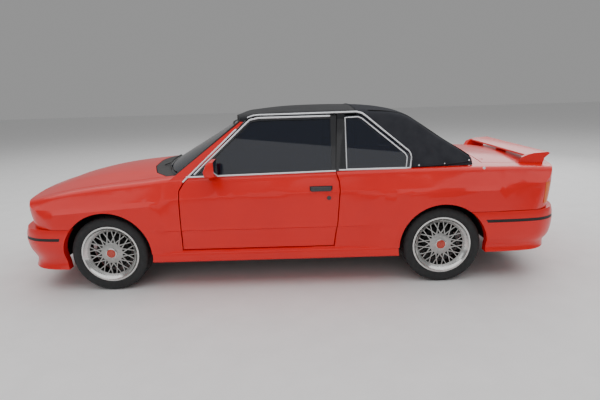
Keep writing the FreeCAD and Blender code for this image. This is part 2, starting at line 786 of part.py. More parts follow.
def cross_pins(x, z, y_mid, radius):
    """The two pins of a hinge line across the car."""
    return fuse([across(x, z, radius, y - lug_width / 2 - 8, y + lug_width / 2 + 8) for y in (-y_mid, y_mid)])


def slots(x, z, y_mid, front, top, deep):
    """The rooms that two lugs need in the lid that turns about them."""
    rooms = []
    for y in (-y_mid, y_mid):
        y0 = y - lug_width / 2 - 1
        rooms.append(across(x, z, eye_radius + 0.5, y0, y0 + lug_width + 2))
        rooms.append(box(x - front, x + eye_radius + 0.5, y0, y0 + lug_width + 2, z - deep, z + top))
        rooms.append(across(x, z, pin_radius - 0.5 + pin_gap, y0 - 9, y0 + lug_width + 11))
    return fuse(rooms)


bonnet = outer.cut(block(lid_skin)).common(plan_prism(bonnet_plan, bonnet_low, 1100))
bonnet = bonnet.cut(slots(x_bonnet_pin, z_bonnet_pin, bonnet_lug_y, 40, 3, 40))
save("bonnet", bonnet)
nose_lugs = [across(x_bonnet_pin, z_bonnet_pin, eye_radius, y - lug_width / 2, y + lug_width / 2)
             for y in (-bonnet_lug_y, bonnet_lug_y)]
nose_lugs += [
    box(x_bonnet_pin - 4, x_bonnet_pin + 4, y - lug_width / 2, y + lug_width / 2, nose_high - 5, z_bonnet_pin)
    for y in (-bonnet_lug_y, bonnet_lug_y)]
nose_lugs.append(cross_pins(x_bonnet_pin, z_bonnet_pin, bonnet_lug_y, pin_radius - 0.5))
nose_half = bonnet_half + panel_gap
lamp_height = 602.0
lamp_radius = 72.0
lamp_places = (310.0, 480.0)
grille_half = 110.0
grille_low = 520.0
grille_high = 672.0
nose_solid = outer.cut(block(nose_wall)).common(
    box(x_front, x_nose + 260, -nose_half, nose_half, nose_low, nose_high))


def nose_bores(radius):
    """Round bars through the nose at the four lamps."""
    bores = []
    for y in lamp_places:
        for way in (-y, y):
            bores.append(Part.makeCylinder(radius, 360, V(x_nose - 100, way, lamp_height), V(1, 0, 0)))
    return bores


grille_hole = box(x_front, x_nose + 200, -grille_half, grille_half, grille_low, grille_high)
nose_panel = fuse([nose_solid.cut(Part.makeCompound(nose_bores(lamp_radius) + [grille_hole]))] + nose_lugs)
save("nose_panel", nose_panel)
lens_layer = block(12.0).cut(block(50.0))
lenses = [lens_layer.common(b) for b in nose_bores(lamp_radius - seat_gap)]
save("headlamps", Part.makeCompound([lens.Solids[0] for lens in lenses]))
bar_pitch = 24.0
slats = [box(x_front, x_nose + 60, y - 4, y + 4, grille_low + seat_gap, grille_high - seat_gap)
         for y in [k * bar_pitch for k in range(-4, 5)]]
edge = grille_half - seat_gap
slats += [box(x_front, x_nose + 60, -edge, edge, z - 4, z + 4) for z in (grille_low + 5, grille_high - 5)]
save("grille", fuse(slats).common(lens_layer))

# Boot lid, rounded in front about its hinge line, and the deck with the hinge lugs
lid_low = 796.0
lid_room = fuse([box(x_lid_pin, x_rear, -lid_half, lid_half, lid_low, 1100),
                 across(x_lid_pin, z_lid_pin, lid_round, -lid_half, lid_half)])
boot_lid = outer.cut(block(lid_skin)).common(lid_room)
boot_lid = boot_lid.cut(slots(x_lid_pin, z_lid_pin, lid_lug_y, lid_round + 4, 4, 60))
save("boot_lid", boot_lid)
deck_front = x_door_r + 560.0
deck_half = lid_half + panel_gap
deck = shell.common(box(deck_front, x_lid_pin, -deck_half, deck_half, 840, 1100))
deck = deck.cut(across(x_lid_pin, z_lid_pin, lid_round + shut_gap, -1000, 1000))
lid_lug = side_prism([
    (x_lid_pin - 5, z_lid_pin), (x_lid_pin - 5, z_lid_pin - 52), (x_lid_pin - 78, z_lid_pin - 52),
    (x_lid_pin - 78, z_lid_pin - 3), (x_lid_pin - 90, z_lid_pin - 3), (x_lid_pin - 90, z_lid_pin - 62),
    (x_lid_pin + 5, z_lid_pin - 62), (x_lid_pin + 5, z_lid_pin),
], -lid_lug_y - lug_width / 2, -lid_lug_y + lug_width / 2)
deck_lugs = [lid_lug, mirrored(lid_lug), cross_pins(x_lid_pin, z_lid_pin, lid_lug_y, pin_radius - 0.5)]
deck_lugs += [across(x_lid_pin, z_lid_pin, eye_radius, y - lug_width / 2, y + lug_width / 2)
              for y in (-lid_lug_y, lid_lug_y)]
save("rear_deck", fuse([deck] + deck_lugs))

# Rear quarters, tail panel and tail lamps
quarter_room = box(x_door_r - 200, x_rear, -1000, -deck_half, sill_height, 1100)
quarter_room = quarter_room.cut(side_prism([
    (x_axle_r + 150, 0), (x_axle_r + 150, rear_levels[-1] + 4),
    (x_rear + 10, rear_levels[-1] + 4), (x_rear + 10, 0),
], -1000, 0))
lamp_low = 590.0
lamp_high = 780.0
lamp_inner = 330.0
lamp_depth = 112.0
lamp_hole = box(x_tail - lamp_depth, x_rear, -1000, -lamp_inner, lamp_low, lamp_high)
lamp_body = box(x_tail - lamp_depth + seat_gap, x_rear, -1000, -lamp_inner - seat_gap,
                lamp_low + seat_gap, lamp_high - seat_gap)
quarter_left = shell.common(quarter_room).cut(arch_cut_r).cut(door_room).cut(pillars).cut(lamp_hole)
save("quarter_panels", both(quarter_left))
save("tail_lamps", both(outer.cut(block(lid_skin)).common(lamp_body)))
tail_low = rear_levels[-1] - 90
tail_panel = outer.cut(block(nose_wall)).common(
    box(x_tail - 260, x_rear, -deck_half, deck_half, tail_low, lid_low - shut_gap))
tail_panel = tail_panel.cut(lamp_hole).cut(mirrored(lamp_hole))
save("tail_panel", tail_panel)

# Bumpers, each with a rubber strip let into it
bumper_wall = 60.0
strip_half = 12.0
strip_deep = 8.0
strip_sunk = 1.5
strip_end = 40.0
strip_front_z = 436.0
strip_rear_z = 491.0
intake = end_prism([(-350, 372), (-310, 272), (310, 272), (350, 372)], x_front - 10, x_front + 200)


def largest(shape):
    """The biggest solid of a shape, where a cut leaves slivers."""
    return max(shape.Solids, key=lambda piece: piece.Volume)


def bumper(outline, levels, strip_z, axle_x, arch, behind):
    """A bumper's hollow shell on the panel behind it, and the strip in its groove up to near the arch."""
    body = ring_plan(outline, levels, 0)
    hollow = ring_plan(outline, (levels[0] - 40,) + levels[1:-1] + (levels[-1] + 40,), bumper_wall)
    body = largest(body.cut(hollow).cut(at_wheel_line(axle_x, arch)).cut(behind))
    band = box(x_front - 10, x_rear + 10, -1000, 1000, strip_z - strip_half, strip_z + strip_half)
    band = band.cut(at_wheel_line(axle_x, arch + strip_end))
    groove = largest(body.common(band).cut(ring_plan(outline, levels, strip_deep)))
    return largest(body.cut(groove)), largest(groove.common(ring_plan(outline, levels, strip_sunk)))


bumper_front, strip_front = bumper(
    bumper_outline(x_front, 1, lean_front, tuck_front, front_reach), front_levels, strip_front_z,
    x_axle_f, arch_front, nose_panel)
bumper_front = bumper_front.cut(intake)
bumper_rear, strip_rear = bumper(
    bumper_outline(x_rear, -1, lean_rear, tuck_rear, rear_reach), rear_levels, strip_rear_z,
    x_axle_r, arch_rear, tail_panel)
save("bumper_front", bumper_front)
save("bumper_rear", bumper_rear)
save("bumper_strips", Part.makeCompound([strip_front, strip_rear]))

# Doors
window_low = belt_rear + 6.0
window_top = frame_top - 24.0
door_low = outer.common(door_region(0, 1000, door_inner))
for z in door_pin_heights:
    door_low = door_low.cut(strap_pocket(z))
door_plate = slab(belt_rear - 40, frame_top + 60, 8, door_frame).common(door_region(0, 1000, 400))
window_room = side_prism([
    (x_door_f + 137, window_low), (x_header_side + 82, window_top - 10), (x_header_side + 140, window_top),
    (x_door_r - 34, window_top), (x_door_r - 34, window_low + 4),
], -1000, 0)
door_left = fuse([door_low, door_plate.cut(window_room)])
save("door_left", door_left)
save("door_right", mirrored(door_left))
pane = slab(belt_rear, frame_top, 0, glass).common(window_room)
save("door_glass_left", pane)
save("door_glass_right", mirrored(pane))

# Roof panel between the rails
panel_room = side_prism([
    (x_header_mid - 30, frame_top - 40), (x_header_side, frame_top + 2),
    (x_header_side + 60, frame_top + 10),
    (x_roof_seam, frame_top + 10), (x_roof_seam, above_roof), (x_header_mid - 30, above_roof),
], -panel_half, panel_half)
save("roof_panel", roof_shell.common(panel_room).common(header_room).cut(cabin_frame))

# Soft top from the seam to the deck, open at the quarter windows
x_top_end = x_hood_end - 78.0
hood_half = [(x_top_end, -900), (x_top_end + 1, -glass_base), (x_top_end + 28, -500), (x_top_end + 58, -250)]
hood_plan = [(x_roof_seam + seat_gap, -900)] + hood_half + [(x_top_end + 68, 0)]
hood_plan += [(x, -y) for x, y in reversed(hood_half)] + [(x_roof_seam + seat_gap, 900)]
x_quarter_tip = x_axle_r - 232.0
x_quarter_top = x_axle_r - 590.0
z_quarter_tip = 973.0
quarter_side = [
    (x_roof_seam - 400, 700), (x_roof_seam - 400, frame_top + 2), (x_quarter_top, frame_top - 4),
    (x_quarter_tip - 14, z_quarter_tip + 35), (x_quarter_tip, z_quarter_tip),
    (x_quarter_tip - 14, belt_rear - 2), (x_quarter_tip - 14, 700),
]
soft_top = roof_out.cut(roof_block(cloth)).common(plan_prism(hood_plan, 700, above_roof))
soft_top = soft_top.cut(side_prism(quarter_side, -1000, 1000)).cut(outer_clear)
window_plan = plan_prism([
    (x_hood_kink + 52, -430), (x_hood_end - 96, -470), (x_hood_end - 80, 0), (x_hood_end - 96, 470),
    (x_hood_kink + 52, 430), (x_hood_kink + 46, 0)], 940, above_roof)
save("soft_top", soft_top.cut(window_plan))
save("rear_window", roof_block(8).cut(roof_block(8 + glass)).common(window_plan))

# Quarter glass between the rear pillar and the fabric
quarter_pane = slab(belt_rear - 10, frame_top + 10, -6, glass).common(side_prism([
    (hoop_x1 + seat_gap, belt_rear - 10), (hoop_x1 + seat_gap, frame_top - 4),
    (x_quarter_top - 2, frame_top - 6),
    (x_quarter_tip - 17, z_quarter_tip + 33), (x_quarter_tip - 4, z_quarter_tip - 1),
    (x_quarter_tip - 18, belt_rear - 10)], -1000, 0))
save("quarter_glass", both(quarter_pane.cut(outer_clear)))

# Side skirts with the sills inside them
skirt_drop = 76.0
skirt = end_prism([
    (-half_in, sill_top), (6 - sill_half, sill_top), (-sill_half - 20, sill_height + 4),
    (-flare_half + 3, sill_height - 14), (-flare_half + 5, sill_height - 62),
    (-sill_half, sill_height - skirt_drop),
    (-half_in - 50, sill_height - skirt_drop), (-half_in - 50, floor_height), (-half_in, floor_height),
], x_axle_f + 300, x_axle_r - 300)
skirt = skirt.cut(across(x_axle_f, tyre_radius, arch_front + 6))
skirt = skirt.cut(across(x_axle_r, tyre_radius, arch_rear + 6))
save("side_skirts", both(skirt.cut(wing_left).cut(quarter_left)))

# Floor pan with tunnel, toe board, seat step, bulkhead and boot floor
tunnel_low = 130.0
tunnel_top = 96.0
tunnel_height = 380.0
tunnel = [
    (-half_in, floor_height), (-tunnel_low, floor_height), (-tunnel_top, tunnel_height),
    (tunnel_top, tunnel_height),
    (tunnel_low, floor_height), (half_in, floor_height), (half_in, floor_height + plate),
    (tunnel_low + 16, floor_height + plate), (tunnel_top + 16, tunnel_height + plate),
    (-tunnel_top - 16, tunnel_height + plate), (-tunnel_low - 16, floor_height + plate),
    (-half_in, floor_height + plate),
]
tunnel_room = end_prism([(-tunnel_low, floor_height - 1), (-tunnel_top, tunnel_height),
                         (tunnel_top, tunnel_height),
                         (tunnel_low, floor_height - 1)], x_toe - 60, x_heel + 60)
heel_height = 330.0
boot_height = 452.0
post_in = half_in - 10
firewall = box(x_toe - plate, x_toe, -post_in, post_in, floor_height, pillar_foot).cut(tunnel_room)
heel = box(x_heel, x_heel + plate, -half_in + 60, half_in - 60, floor_height, heel_height + plate)
heel = heel.cut(tunnel_room)
house_in = 580.0
pan = side_prism([
    (x_heel, heel_height), (x_boot, boot_height + plate), (x_boot, boot_height + 2 * plate),
    (x_heel, heel_height + plate)], -house_in + 40, house_in - 40)
bulkhead = box(x_boot, x_boot + plate, -house_in + 40, house_in - 40, boot_height, 1000).common(inner_clear)
boot = box(x_boot, x_tail - nose_wall - 4, -house_in, house_in, boot_height, boot_height + plate)
boot = boot.cut(bumper_rear)
floor_pan = fuse([end_prism(tunnel, x_toe, x_heel), firewall, heel, pan, bulkhead, boot])
save("floor_pan", floor_pan)

# Wheel houses, the front ones wide enough for the steered tyres
house_wall = 8.0
house_lift = 34.0
liner_low = 262.0
liner_radius = 372.0
rail_out = 420.0
rail_in = 340.0
tower_low = 615.0
tower_half = 90.0
tower_out = 600.0
tower_top = 760.0


def wheel_house(x, radius, y_in, low):
    """A half drum around one wheel, with its inner wall."""
    y_out = -flare_half
    house = across(x, tyre_radius, radius + house_wall, y_out, -y_in)
    house = house.cut(across(x, tyre_radius, radius, y_out, -y_in - house_wall))
    return house.common(box(x - 500, x + 500, y_out, 0, low, 800))


rear_house = wheel_house(x_axle_r, arch_rear + 4, house_in, tyre_radius + house_lift).common(inner_clear)
front_house = wheel_house(x_axle_f, liner_radius, rail_out, liner_low)
front_house = front_house.common(box(x_front, 0, -785, 0, 0, 800))
front_house = front_house.cut(box(x_axle_f, 0, -1000, 0, 0, tyre_radius + house_lift))
front_house = front_house.common(inner_clear).cut(
    box(x_axle_f - tower_half - seat_gap, x_axle_f + tower_half + seat_gap, -tower_out - seat_gap, 0,
        tower_low - seat_gap, 900))
rear_house = largest(rear_house.cut(bumper_rear))
front_house = largest(front_house.cut(bumper_front))
save("wheel_houses", Part.makeCompound([
    rear_house, mirrored(rear_house), front_house, mirrored(front_house)]))

# Rails and strut towers at the front
king_low = V(x_axle_f, -640, 185)
king_high = V(x_axle_f, -530, 720)
king_way = (king_high - king_low).normalize()


def on_king(height):
    """The point of the left steering axis at one height."""
    return king_low + king_way * ((height - king_low.z) / king_way.z)


def king_rod(z0, z1, radius):
    """A round bar along the left steering axis between two heights."""
    a = on_king(z0)
    b = on_king(z1)
    return Part.makeCylinder(radius, (b - a).Length, a, king_way)


rail_low = 400.0
rail_high = 500.0
strut_top = 712.0
x_rail = x_nose + 130.0
rail = box(x_rail, x_toe - plate, -rail_out, -rail_in, rail_low, rail_high)
tower = box(x_axle_f - tower_half, x_axle_f + tower_half, -tower_out, -rail_in, tower_low, tower_top)
tower = tower.cut(box(x_axle_f - tower_half + 14, x_axle_f + tower_half - 14, 12 - tower_out, -rail_in - 12,
                      tower_low - 15, tower_top - plate))
web = box(x_axle_f - tower_half, x_axle_f + tower_half, -rail_out, -rail_in, rail_high, tower_low + 5)
top_mount = king_rod(strut_top + joint_gap, tower_top - 10, 40)
beam = box(x_rail, x_rail + 30, -rail_out, rail_out, rail_low - 20, rail_high)
front_side = [rail, tower, web, top_mount]
save("front_frame", fuse(front_side + [mirrored(p) for p in front_side] + [beam]))

# Suspension
arm_top = 206.0
knuckle = fuse([
    king_rod(arm_top, strut_top, 24),
    rod((x_axle_f, -600, tyre_radius), (x_axle_f, -hub_face, tyre_radius), 40),
    king_rod(arm_top, tyre_radius + 84, 38),
])
save("knuckle_left", knuckle)
save("knuckle_right", mirrored(knuckle))
arm = fuse([
    king_rod(160, arm_top - joint_gap, 34),
    rod((x_axle_f, -636, 184), (x_axle_f, -300, 200), 18),
    rod((x_axle_f, -600, 186), (x_axle_f + 250, -370, 200), 16),
    box(x_axle_f + 200, x_axle_f + 300, -400, -rail_in, 180, rail_low),
]).cut(king_rod(arm_top - joint_gap, strut_top, 42))
subframe = box(x_axle_f - 60, x_axle_f + 60, -320, 320, 180, 250)
sub_post = box(x_axle_f - 40, x_axle_f + 40, -400, -300, 200, rail_low)
save("front_arms", fuse([arm, mirrored(arm), subframe, sub_post, mirrored(sub_post)]))


def pan_under(x):
    """The height of the rear pan's underside at one place."""
    return heel_height + (boot_height + plate - heel_height) * (x - x_heel) / (x_boot - x_heel)


mount_f = x_axle_r - 350.0
mount_r = x_axle_r - 290.0
axle_high = tyre_radius + 24
axle_mount = side_prism([(mount_f, axle_high - 20), (mount_r, axle_high - 20), (mount_r, pan_under(mount_r)),
                         (mount_f, pan_under(mount_f))], -420, -360)
trail = fuse([
    box(x_axle_r - 330, x_axle_r + 20, -560, -520, axle_high - 100, axle_high),
    rod((x_axle_r, -hub_face, tyre_radius), (x_axle_r, -60, tyre_radius), 26),
    box(mount_f, mount_r, -540, 0, axle_high - 100, axle_high),
    axle_mount,
])
prop_height = 300.0
x_gearbox = x_toe + 270.0
prop_radius = 28.0
drive_half = 110.0
drive_low = 210.0
drive_high = 380.0
drive_front = x_axle_r - 160.0
final_drive = box(drive_front, x_axle_r + 140, -drive_half, drive_half, drive_low, drive_high)
prop = rod((x_gearbox + seat_gap, 0, prop_height), (drive_front + 10, 0, prop_height), prop_radius)
save("rear_axle", fuse([trail, mirrored(trail), final_drive, prop]))

# Engine and gearbox, carried on the rails
engine_half = 210.0
engine_low = 262.0
engine_top = 700.0
engine_ahead = 300.0
engine_behind = 260.0
gearbox_half = 80.0
gearbox_low = 226.0
engine_arm = box(x_axle_f - 40, x_axle_f + 40, -rail_in, 5 - engine_half, rail_low + 20, rail_high - 20)
save("engine", fuse([
    box(x_axle_f - engine_ahead, x_axle_f + engine_behind, -engine_half, engine_half, engine_low, engine_top),
    box(x_axle_f + engine_behind - 5, x_gearbox, -gearbox_half, gearbox_half, gearbox_low, prop_height + 68),
    engine_arm, mirrored(engine_arm),
]))


def tail_rod(x0, x1, radius):
    """A length of the tail pipe, which runs straight back."""
    return rod((x0, tail_pipe_y, tail_pipe_z), (x1, tail_pipe_y, tail_pipe_z), radius)


def pipe_run(points, radius):
    """A bent pipe: straight rods with a ball in each bend."""
    pieces = [rod(a, b, radius) for a, b in zip(points, points[1:])]
    pieces += [Part.makeSphere(radius, V(*p)) for p in points[1:-1]]
    return fuse(pieces)


pipe_radius = 26.0
pipe_y = 72.0
pipe_low = 158.0
pipe_out = 170.0
gearbox_pipe_z = 226.0
silencer_x0 = x_axle_r + 560.0
silencer_x1 = x_axle_r + 800.0
silencer_half = 300.0
silencer_low = 156.0
silencer_high = 330.0
silencer_mid = 240.0
tail_pipe_y = -250.0
tail_pipe_z = 190.0
tail_tip_radius = 30.0
tail_tip_length = 70.0
tail_pipe_end = x_rear - 60.0
hanger_x = x_axle_r + 680.0
hanger_y = 200.0
hanger_radius = 6.0
hangers = [rod((hanger_x, y, silencer_high - 5), (hanger_x, y, boot_height), hanger_radius)
           for y in (-hanger_y, hanger_y)]
x_hanger_f = x_gearbox + 200.0
hangers.append(rod((x_hanger_f, pipe_y, gearbox_pipe_z), (x_hanger_f, pipe_y, tunnel_height), hanger_radius))
pipe = fuse([
    pipe_run([
        (x_gearbox + 40, pipe_y, gearbox_pipe_z), (x_heel - 180, pipe_y, gearbox_pipe_z),
        (x_heel - 80, pipe_y, pipe_low), (x_heel + 60, pipe_out, pipe_low),
        (x_axle_r + 160, pipe_out, pipe_low), (silencer_x0 + 20, pipe_out, silencer_mid)], pipe_radius),
    box(silencer_x0, silencer_x1, -silencer_half, silencer_half, silencer_low, silencer_high),
    tail_rod(silencer_x1 - 10, tail_pipe_end - 1, pipe_radius),
    tail_rod(tail_pipe_end - tail_tip_length, tail_pipe_end, tail_tip_radius),
] + hangers)
save("exhaust", pipe)

# Seats, dashboard and steering wheel
seat_y = -368.0
seat_width = 430.0
seat_depth = 460.0
seat_low = 290.0
seat_front_top = 400.0
seat_rear_top = 370.0
back_top = 860.0
rest_low = 880.0
rest_high = 1040.0
rest_half = 110.0


def seat(y0, width, x0, depth, back_x):
    """One front seat: a base, a cushion, a leaning back and a headrest on its post."""
    cushion = side_prism([
        (x0, seat_low + 40), (x0 + 20, seat_front_top), (x0 + depth, seat_rear_top),
        (x0 + depth, seat_low), (x0 + 30, seat_low)], y0 - width / 2, y0 + width / 2)
    back = side_prism([
        (back_x - 60, seat_rear_top), (back_x + 90, back_top), (back_x + 200, back_top - 10),
        (back_x + 60, seat_low + 40), (back_x - 40, seat_low + 10)], y0 - width / 2, y0 + width / 2)
    rest = box(back_x + 100, back_x + 180, y0 - rest_half, y0 + rest_half, rest_low, rest_high)
    post = rod((back_x + 135, y0, back_top - 30), (back_x + 140, y0, rest_low + 10), 10)
    base = box(x0 + 50, x0 + depth - 50, y0 - width / 2 + 20, y0 + width / 2 - 20,
               floor_height + plate + seat_gap, seat_low + 10)
    return fuse([cushion, back, rest, post, base])


save("front_seats", both(seat(seat_y, seat_width, x_door_f + 590, seat_depth, x_door_f + 1030)))
bench_half = 530.0
bench_front = 400.0
bench_top = 470.0
bench_back_top = 800.0
pan_top_heel = heel_height + plate + seat_gap
pan_top_boot = boot_height + 2 * plate + seat_gap
save("rear_bench", side_prism([
    (x_heel, pan_top_heel), (x_heel - 40, bench_front), (x_heel - 40, bench_front + 40),
    (x_boot - 130, bench_top), (x_boot - 60, bench_back_top), (x_boot - seat_gap, bench_back_top),
    (x_boot - seat_gap, pan_top_boot)], -bench_half, bench_half).cut(floor_pan))
steering_ring = 180.0
steering_rim = 14.0
hub_radius = 50.0
hub_length = 60.0
hub_behind = 40.0
column_radius = 32.0
column_length = 260.0
wheel_mid = V(x_toe + 470, -350, 765)
column_way = V(0.936, 0, 0.351).normalize()
column_start = wheel_mid - column_way * (column_length + hub_behind)
column = Part.makeCylinder(column_radius, column_length, column_start, column_way)
dash_low = 560.0
dash_top = 850.0
dash_half = post_in - seat_gap
dash_face = x_toe + seat_gap
dash = side_prism([
    (dash_face, dash_low), (dash_face, dash_top - 20), (x_toe + 60, dash_top), (x_toe + 300, dash_top),
    (x_toe + 330, dash_top - 50), (x_toe + 260, dash_top - 150), (x_toe + 120, dash_low),
], -dash_half, dash_half).common(inner_clear)
save("dashboard", fuse([dash, column]))
ring = Part.makeTorus(steering_ring, steering_rim, wheel_mid, column_way)
hub_start = wheel_mid - column_way * (hub_behind - joint_gap)
pad = Part.makeCylinder(hub_radius, hub_length - joint_gap, hub_start, column_way)
spoke_reach = V(0, steering_ring - 4, 0)
spoke = rod(tuple(wheel_mid - spoke_reach), tuple(wheel_mid + spoke_reach), 10)
save("steering_wheel", fuse([ring, pad, spoke]))

# Wing on the boot lid: a blade that sweeps down into an end foot on each side, and one foot in the middle
wing_half = 598.0
wing_front = x_axle_r + 688.0
wing_back = x_axle_r + 868.0
wing_base = deck_height + 2.0
foot_width = 30.0
foot_front = x_axle_r + 612.0
foot_back = x_axle_r + 812.0
blade = side_prism([
    (wing_front, wing_base), (wing_front + 4, wing_base + 12), (wing_front + 60, wing_base + 24),
    (wing_back - 8, wing_base + 30), (wing_back, wing_base + 22), (wing_back - 44, wing_base + 2),
], -wing_half, wing_half)
foot = Part.makeLoft([
    Part.makePolygon([V(x, y, z) for x, z in points + points[:1]])
    for y, points in (
        (-wing_half - 8, [
            (foot_front, wing_base - 62), (wing_front - 40, wing_base - 6), (wing_front, wing_base + 10),
            (wing_back + 4, wing_base + 24), (wing_back - 40, wing_base - 14),
            (foot_back, wing_base - 72)]),
        (foot_width - wing_half, [
            (foot_front + 20, wing_base - 62), (wing_front - 20, wing_base), (wing_front, wing_base + 12),
            (wing_back, wing_base + 26), (wing_back - 40, wing_base - 4), (foot_back - 6, wing_base - 72)]))
], True, True).cut(outer_clear)
middle = side_prism([
    (foot_front + 70, wing_base - 56), (wing_front + 40, wing_base + 8), (wing_back - 70, wing_base + 10),
    (foot_back - 20, wing_base - 66)], -foot_width / 2, foot_width / 2).cut(outer_clear)
save("rear_wing", fuse([blade, foot, mirrored(foot), middle]))

# Door mirrors on the corner plates of the door windows
x_mirror = x_door_f + 214.0
mirror_low = belt_rear + 4.0
mirror_rows = ((-786.0, 0.80), (-836.0, 1.0), (-900.0, 0.96), (-926.0, 0.80))
mirror_face = [(-46, -52), (-50, -20), (-22, 40), (10, 64), (42, 66), (46, -62), (20, -68), (-30, -64)]
stalk = box(x_mirror, x_mirror + 70, -800, -742, mirror_low, mirror_low + 26)


def mirror_row(y, scale):
    """The mirror head's outline at one distance from the middle of the car."""
    points = [V(x_mirror + 46 + scale * x, y, mirror_low + 68 + scale * z) for x, z in mirror_face]
    return Part.makePolygon(points + points[:1])


head = Part.makeLoft([mirror_row(y, scale) for y, scale in mirror_rows], True, True)
mirror = fuse([stalk, head])
save("mirror_left", mirror)
save("mirror_right", mirrored(mirror))
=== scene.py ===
# Looks for the two-door convertible: smooth painted panels, bright trim, lattice wheels, fabric top, cabin.
import bpy
import bmesh
import json
import math
from mathutils import Matrix, Vector, noise
from mathutils.bvhtree import BVHTree


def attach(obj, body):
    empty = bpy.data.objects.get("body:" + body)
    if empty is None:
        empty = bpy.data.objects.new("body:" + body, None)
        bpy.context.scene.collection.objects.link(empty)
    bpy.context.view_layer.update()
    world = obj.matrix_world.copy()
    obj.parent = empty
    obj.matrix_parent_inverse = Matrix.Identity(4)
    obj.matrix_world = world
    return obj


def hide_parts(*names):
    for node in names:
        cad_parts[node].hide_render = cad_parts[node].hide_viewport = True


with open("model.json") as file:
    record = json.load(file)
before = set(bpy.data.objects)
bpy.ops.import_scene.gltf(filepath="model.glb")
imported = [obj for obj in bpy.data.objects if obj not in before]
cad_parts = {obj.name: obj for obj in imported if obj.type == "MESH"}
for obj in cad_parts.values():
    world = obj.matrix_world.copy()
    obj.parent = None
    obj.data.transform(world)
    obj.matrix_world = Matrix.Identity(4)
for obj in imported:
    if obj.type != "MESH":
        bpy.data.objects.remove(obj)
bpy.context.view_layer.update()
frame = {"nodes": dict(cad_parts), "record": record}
bodyOf = {node: body for body, nodes in frame["record"]["behaviour"]["bodies"].items() for node in nodes}
slotOf = {part["node"]: part["material_slot"] for part in frame["record"]["subparts"]}
print("frame loaded with", len(frame["nodes"]), "nodes")

# Stations along the car, in metres, as in the part
car = {
    "axleFrontX": -1.3825, "axleRearX": 1.1825, "tyreRadius": 0.296, "wheelPlane": 0.703,
    "doorFrontX": -0.8025, "doorRearX": 0.3825,
}
sides = {"left": -1, "right": 1}

# How near to each other points are merged, and where rays towards the car start
weld = {"made": 0.00001, "cad": 0.00002}
rayFrom = {"side": 1.3, "above": 2.0, "ahead": -3.0}


def linearColor(code):
    # sRGB hex to linear
    parts = [int(code[k:k + 2], 16) / 255 for k in (0, 2, 4)]
    return tuple(c / 12.92 if c <= 0.04045 else ((c + 0.055) / 1.055) ** 2.4 for c in parts) + (1.0,)


def addNode(tree, kind, settings=None, links=None):
    # Adds a shader node with its settings, and links from other nodes' outputs into its inputs
    node = tree.nodes.new(kind)
    for key, value in (settings or {}).items():
        if isinstance(key, int) or key in node.inputs:
            node.inputs[key].default_value = value
        else:
            setattr(node, key, value)
    for key, source in (links or {}).items():
        tree.links.new(source, node.inputs[key])
    return node


def newMaterial(name, settings):
    # A material with its shader's constants set, given back with its tree and shader
    material = bpy.data.materials.new(name)
    material.use_nodes = True
    tree = material.node_tree
    shader = tree.nodes["Principled BSDF"]
    for key, value in settings.items():
        shader.inputs[key].default_value = value
    return material, tree, shader


def mottle(tree, scale, detail=4.0):
    # Even noise over the object, by its own coordinates
    coords = addNode(tree, "ShaderNodeTexCoord")
    return addNode(tree, "ShaderNodeTexNoise", {"Scale": scale, "Detail": detail, "Roughness": 0.55},
                   {"Vector": coords.outputs["Object"]}).outputs["Fac"]


def spread(tree, source, low, high, start=0.3, end=0.7):
    # Takes a 0 to 1 pattern to a range of numbers
    return addNode(tree, "ShaderNodeMapRange",
                   {"From Min": start, "From Max": end, "To Min": low, "To Max": high},
                   {"Value": source}).outputs["Result"]


def colorFrom(tree, shader, source, first, second):
    # The base colour runs between two hex colours with a pattern
    ramp = addNode(tree, "ShaderNodeValToRGB", {}, {"Fac": source})
    for stop, position, code in zip(ramp.color_ramp.elements, (0.35, 0.65), (first, second)):
        stop.position = position
        stop.color = linearColor(code)
    tree.links.new(ramp.outputs["Color"], shader.inputs["Base Color"])


def bumpFrom(tree, shader, source, strength, distance):
    # Fine relief from a pattern
    bump = addNode(tree, "ShaderNodeBump", {"Strength": strength, "Distance": distance}, {"Height": source})
    tree.links.new(bump.outputs["Normal"], shader.inputs["Normal"])


def redPaint():
    # Baked solid enamel: one bright red with a clear, glossy top layer and faint orange peel
    material, tree, shader = newMaterial("redEnamel", {
        "Metallic": 0.0, "Roughness": 0.4, "IOR": 1.35, "Coat Weight": 0.55, "Coat Roughness": 0.12})
    colorFrom(tree, shader, mottle(tree, scale=1.6), "E20400", "EA0A00")
    bumpFrom(tree, shader, mottle(tree, scale=320.0, detail=2.0), strength=0.02, distance=0.0004)
    return material


def plainFinish(name, first, second, settings, grain, bump):
    # A moulded, cast or woven finish: two close tones and a fine grain
    material, tree, shader = newMaterial(name, settings)
    colorFrom(tree, shader, mottle(tree, grain * 0.12), first, second)
    fine = mottle(tree, grain, detail=5.0)
    rough = shader.inputs["Roughness"].default_value
    span = spread(tree, fine, max(rough - 0.06, 0.02), min(rough + 0.06, 1.0))
    tree.links.new(span, shader.inputs["Roughness"])
    bumpFrom(tree, shader, fine, bump, distance=0.0004)
    return material


def tintedGlass(name, code, alpha):
    # Tinted safety glass: dark, very smooth, and seen through weakly
    material, tree, shader = newMaterial(name, {
        "Metallic": 0.0, "Roughness": 0.02, "IOR": 1.5, "Coat Weight": 0.6, "Coat Roughness": 0.01,
        "Alpha": alpha})
    colorFrom(tree, shader, mottle(tree, scale=2.0), code, code)
    return material


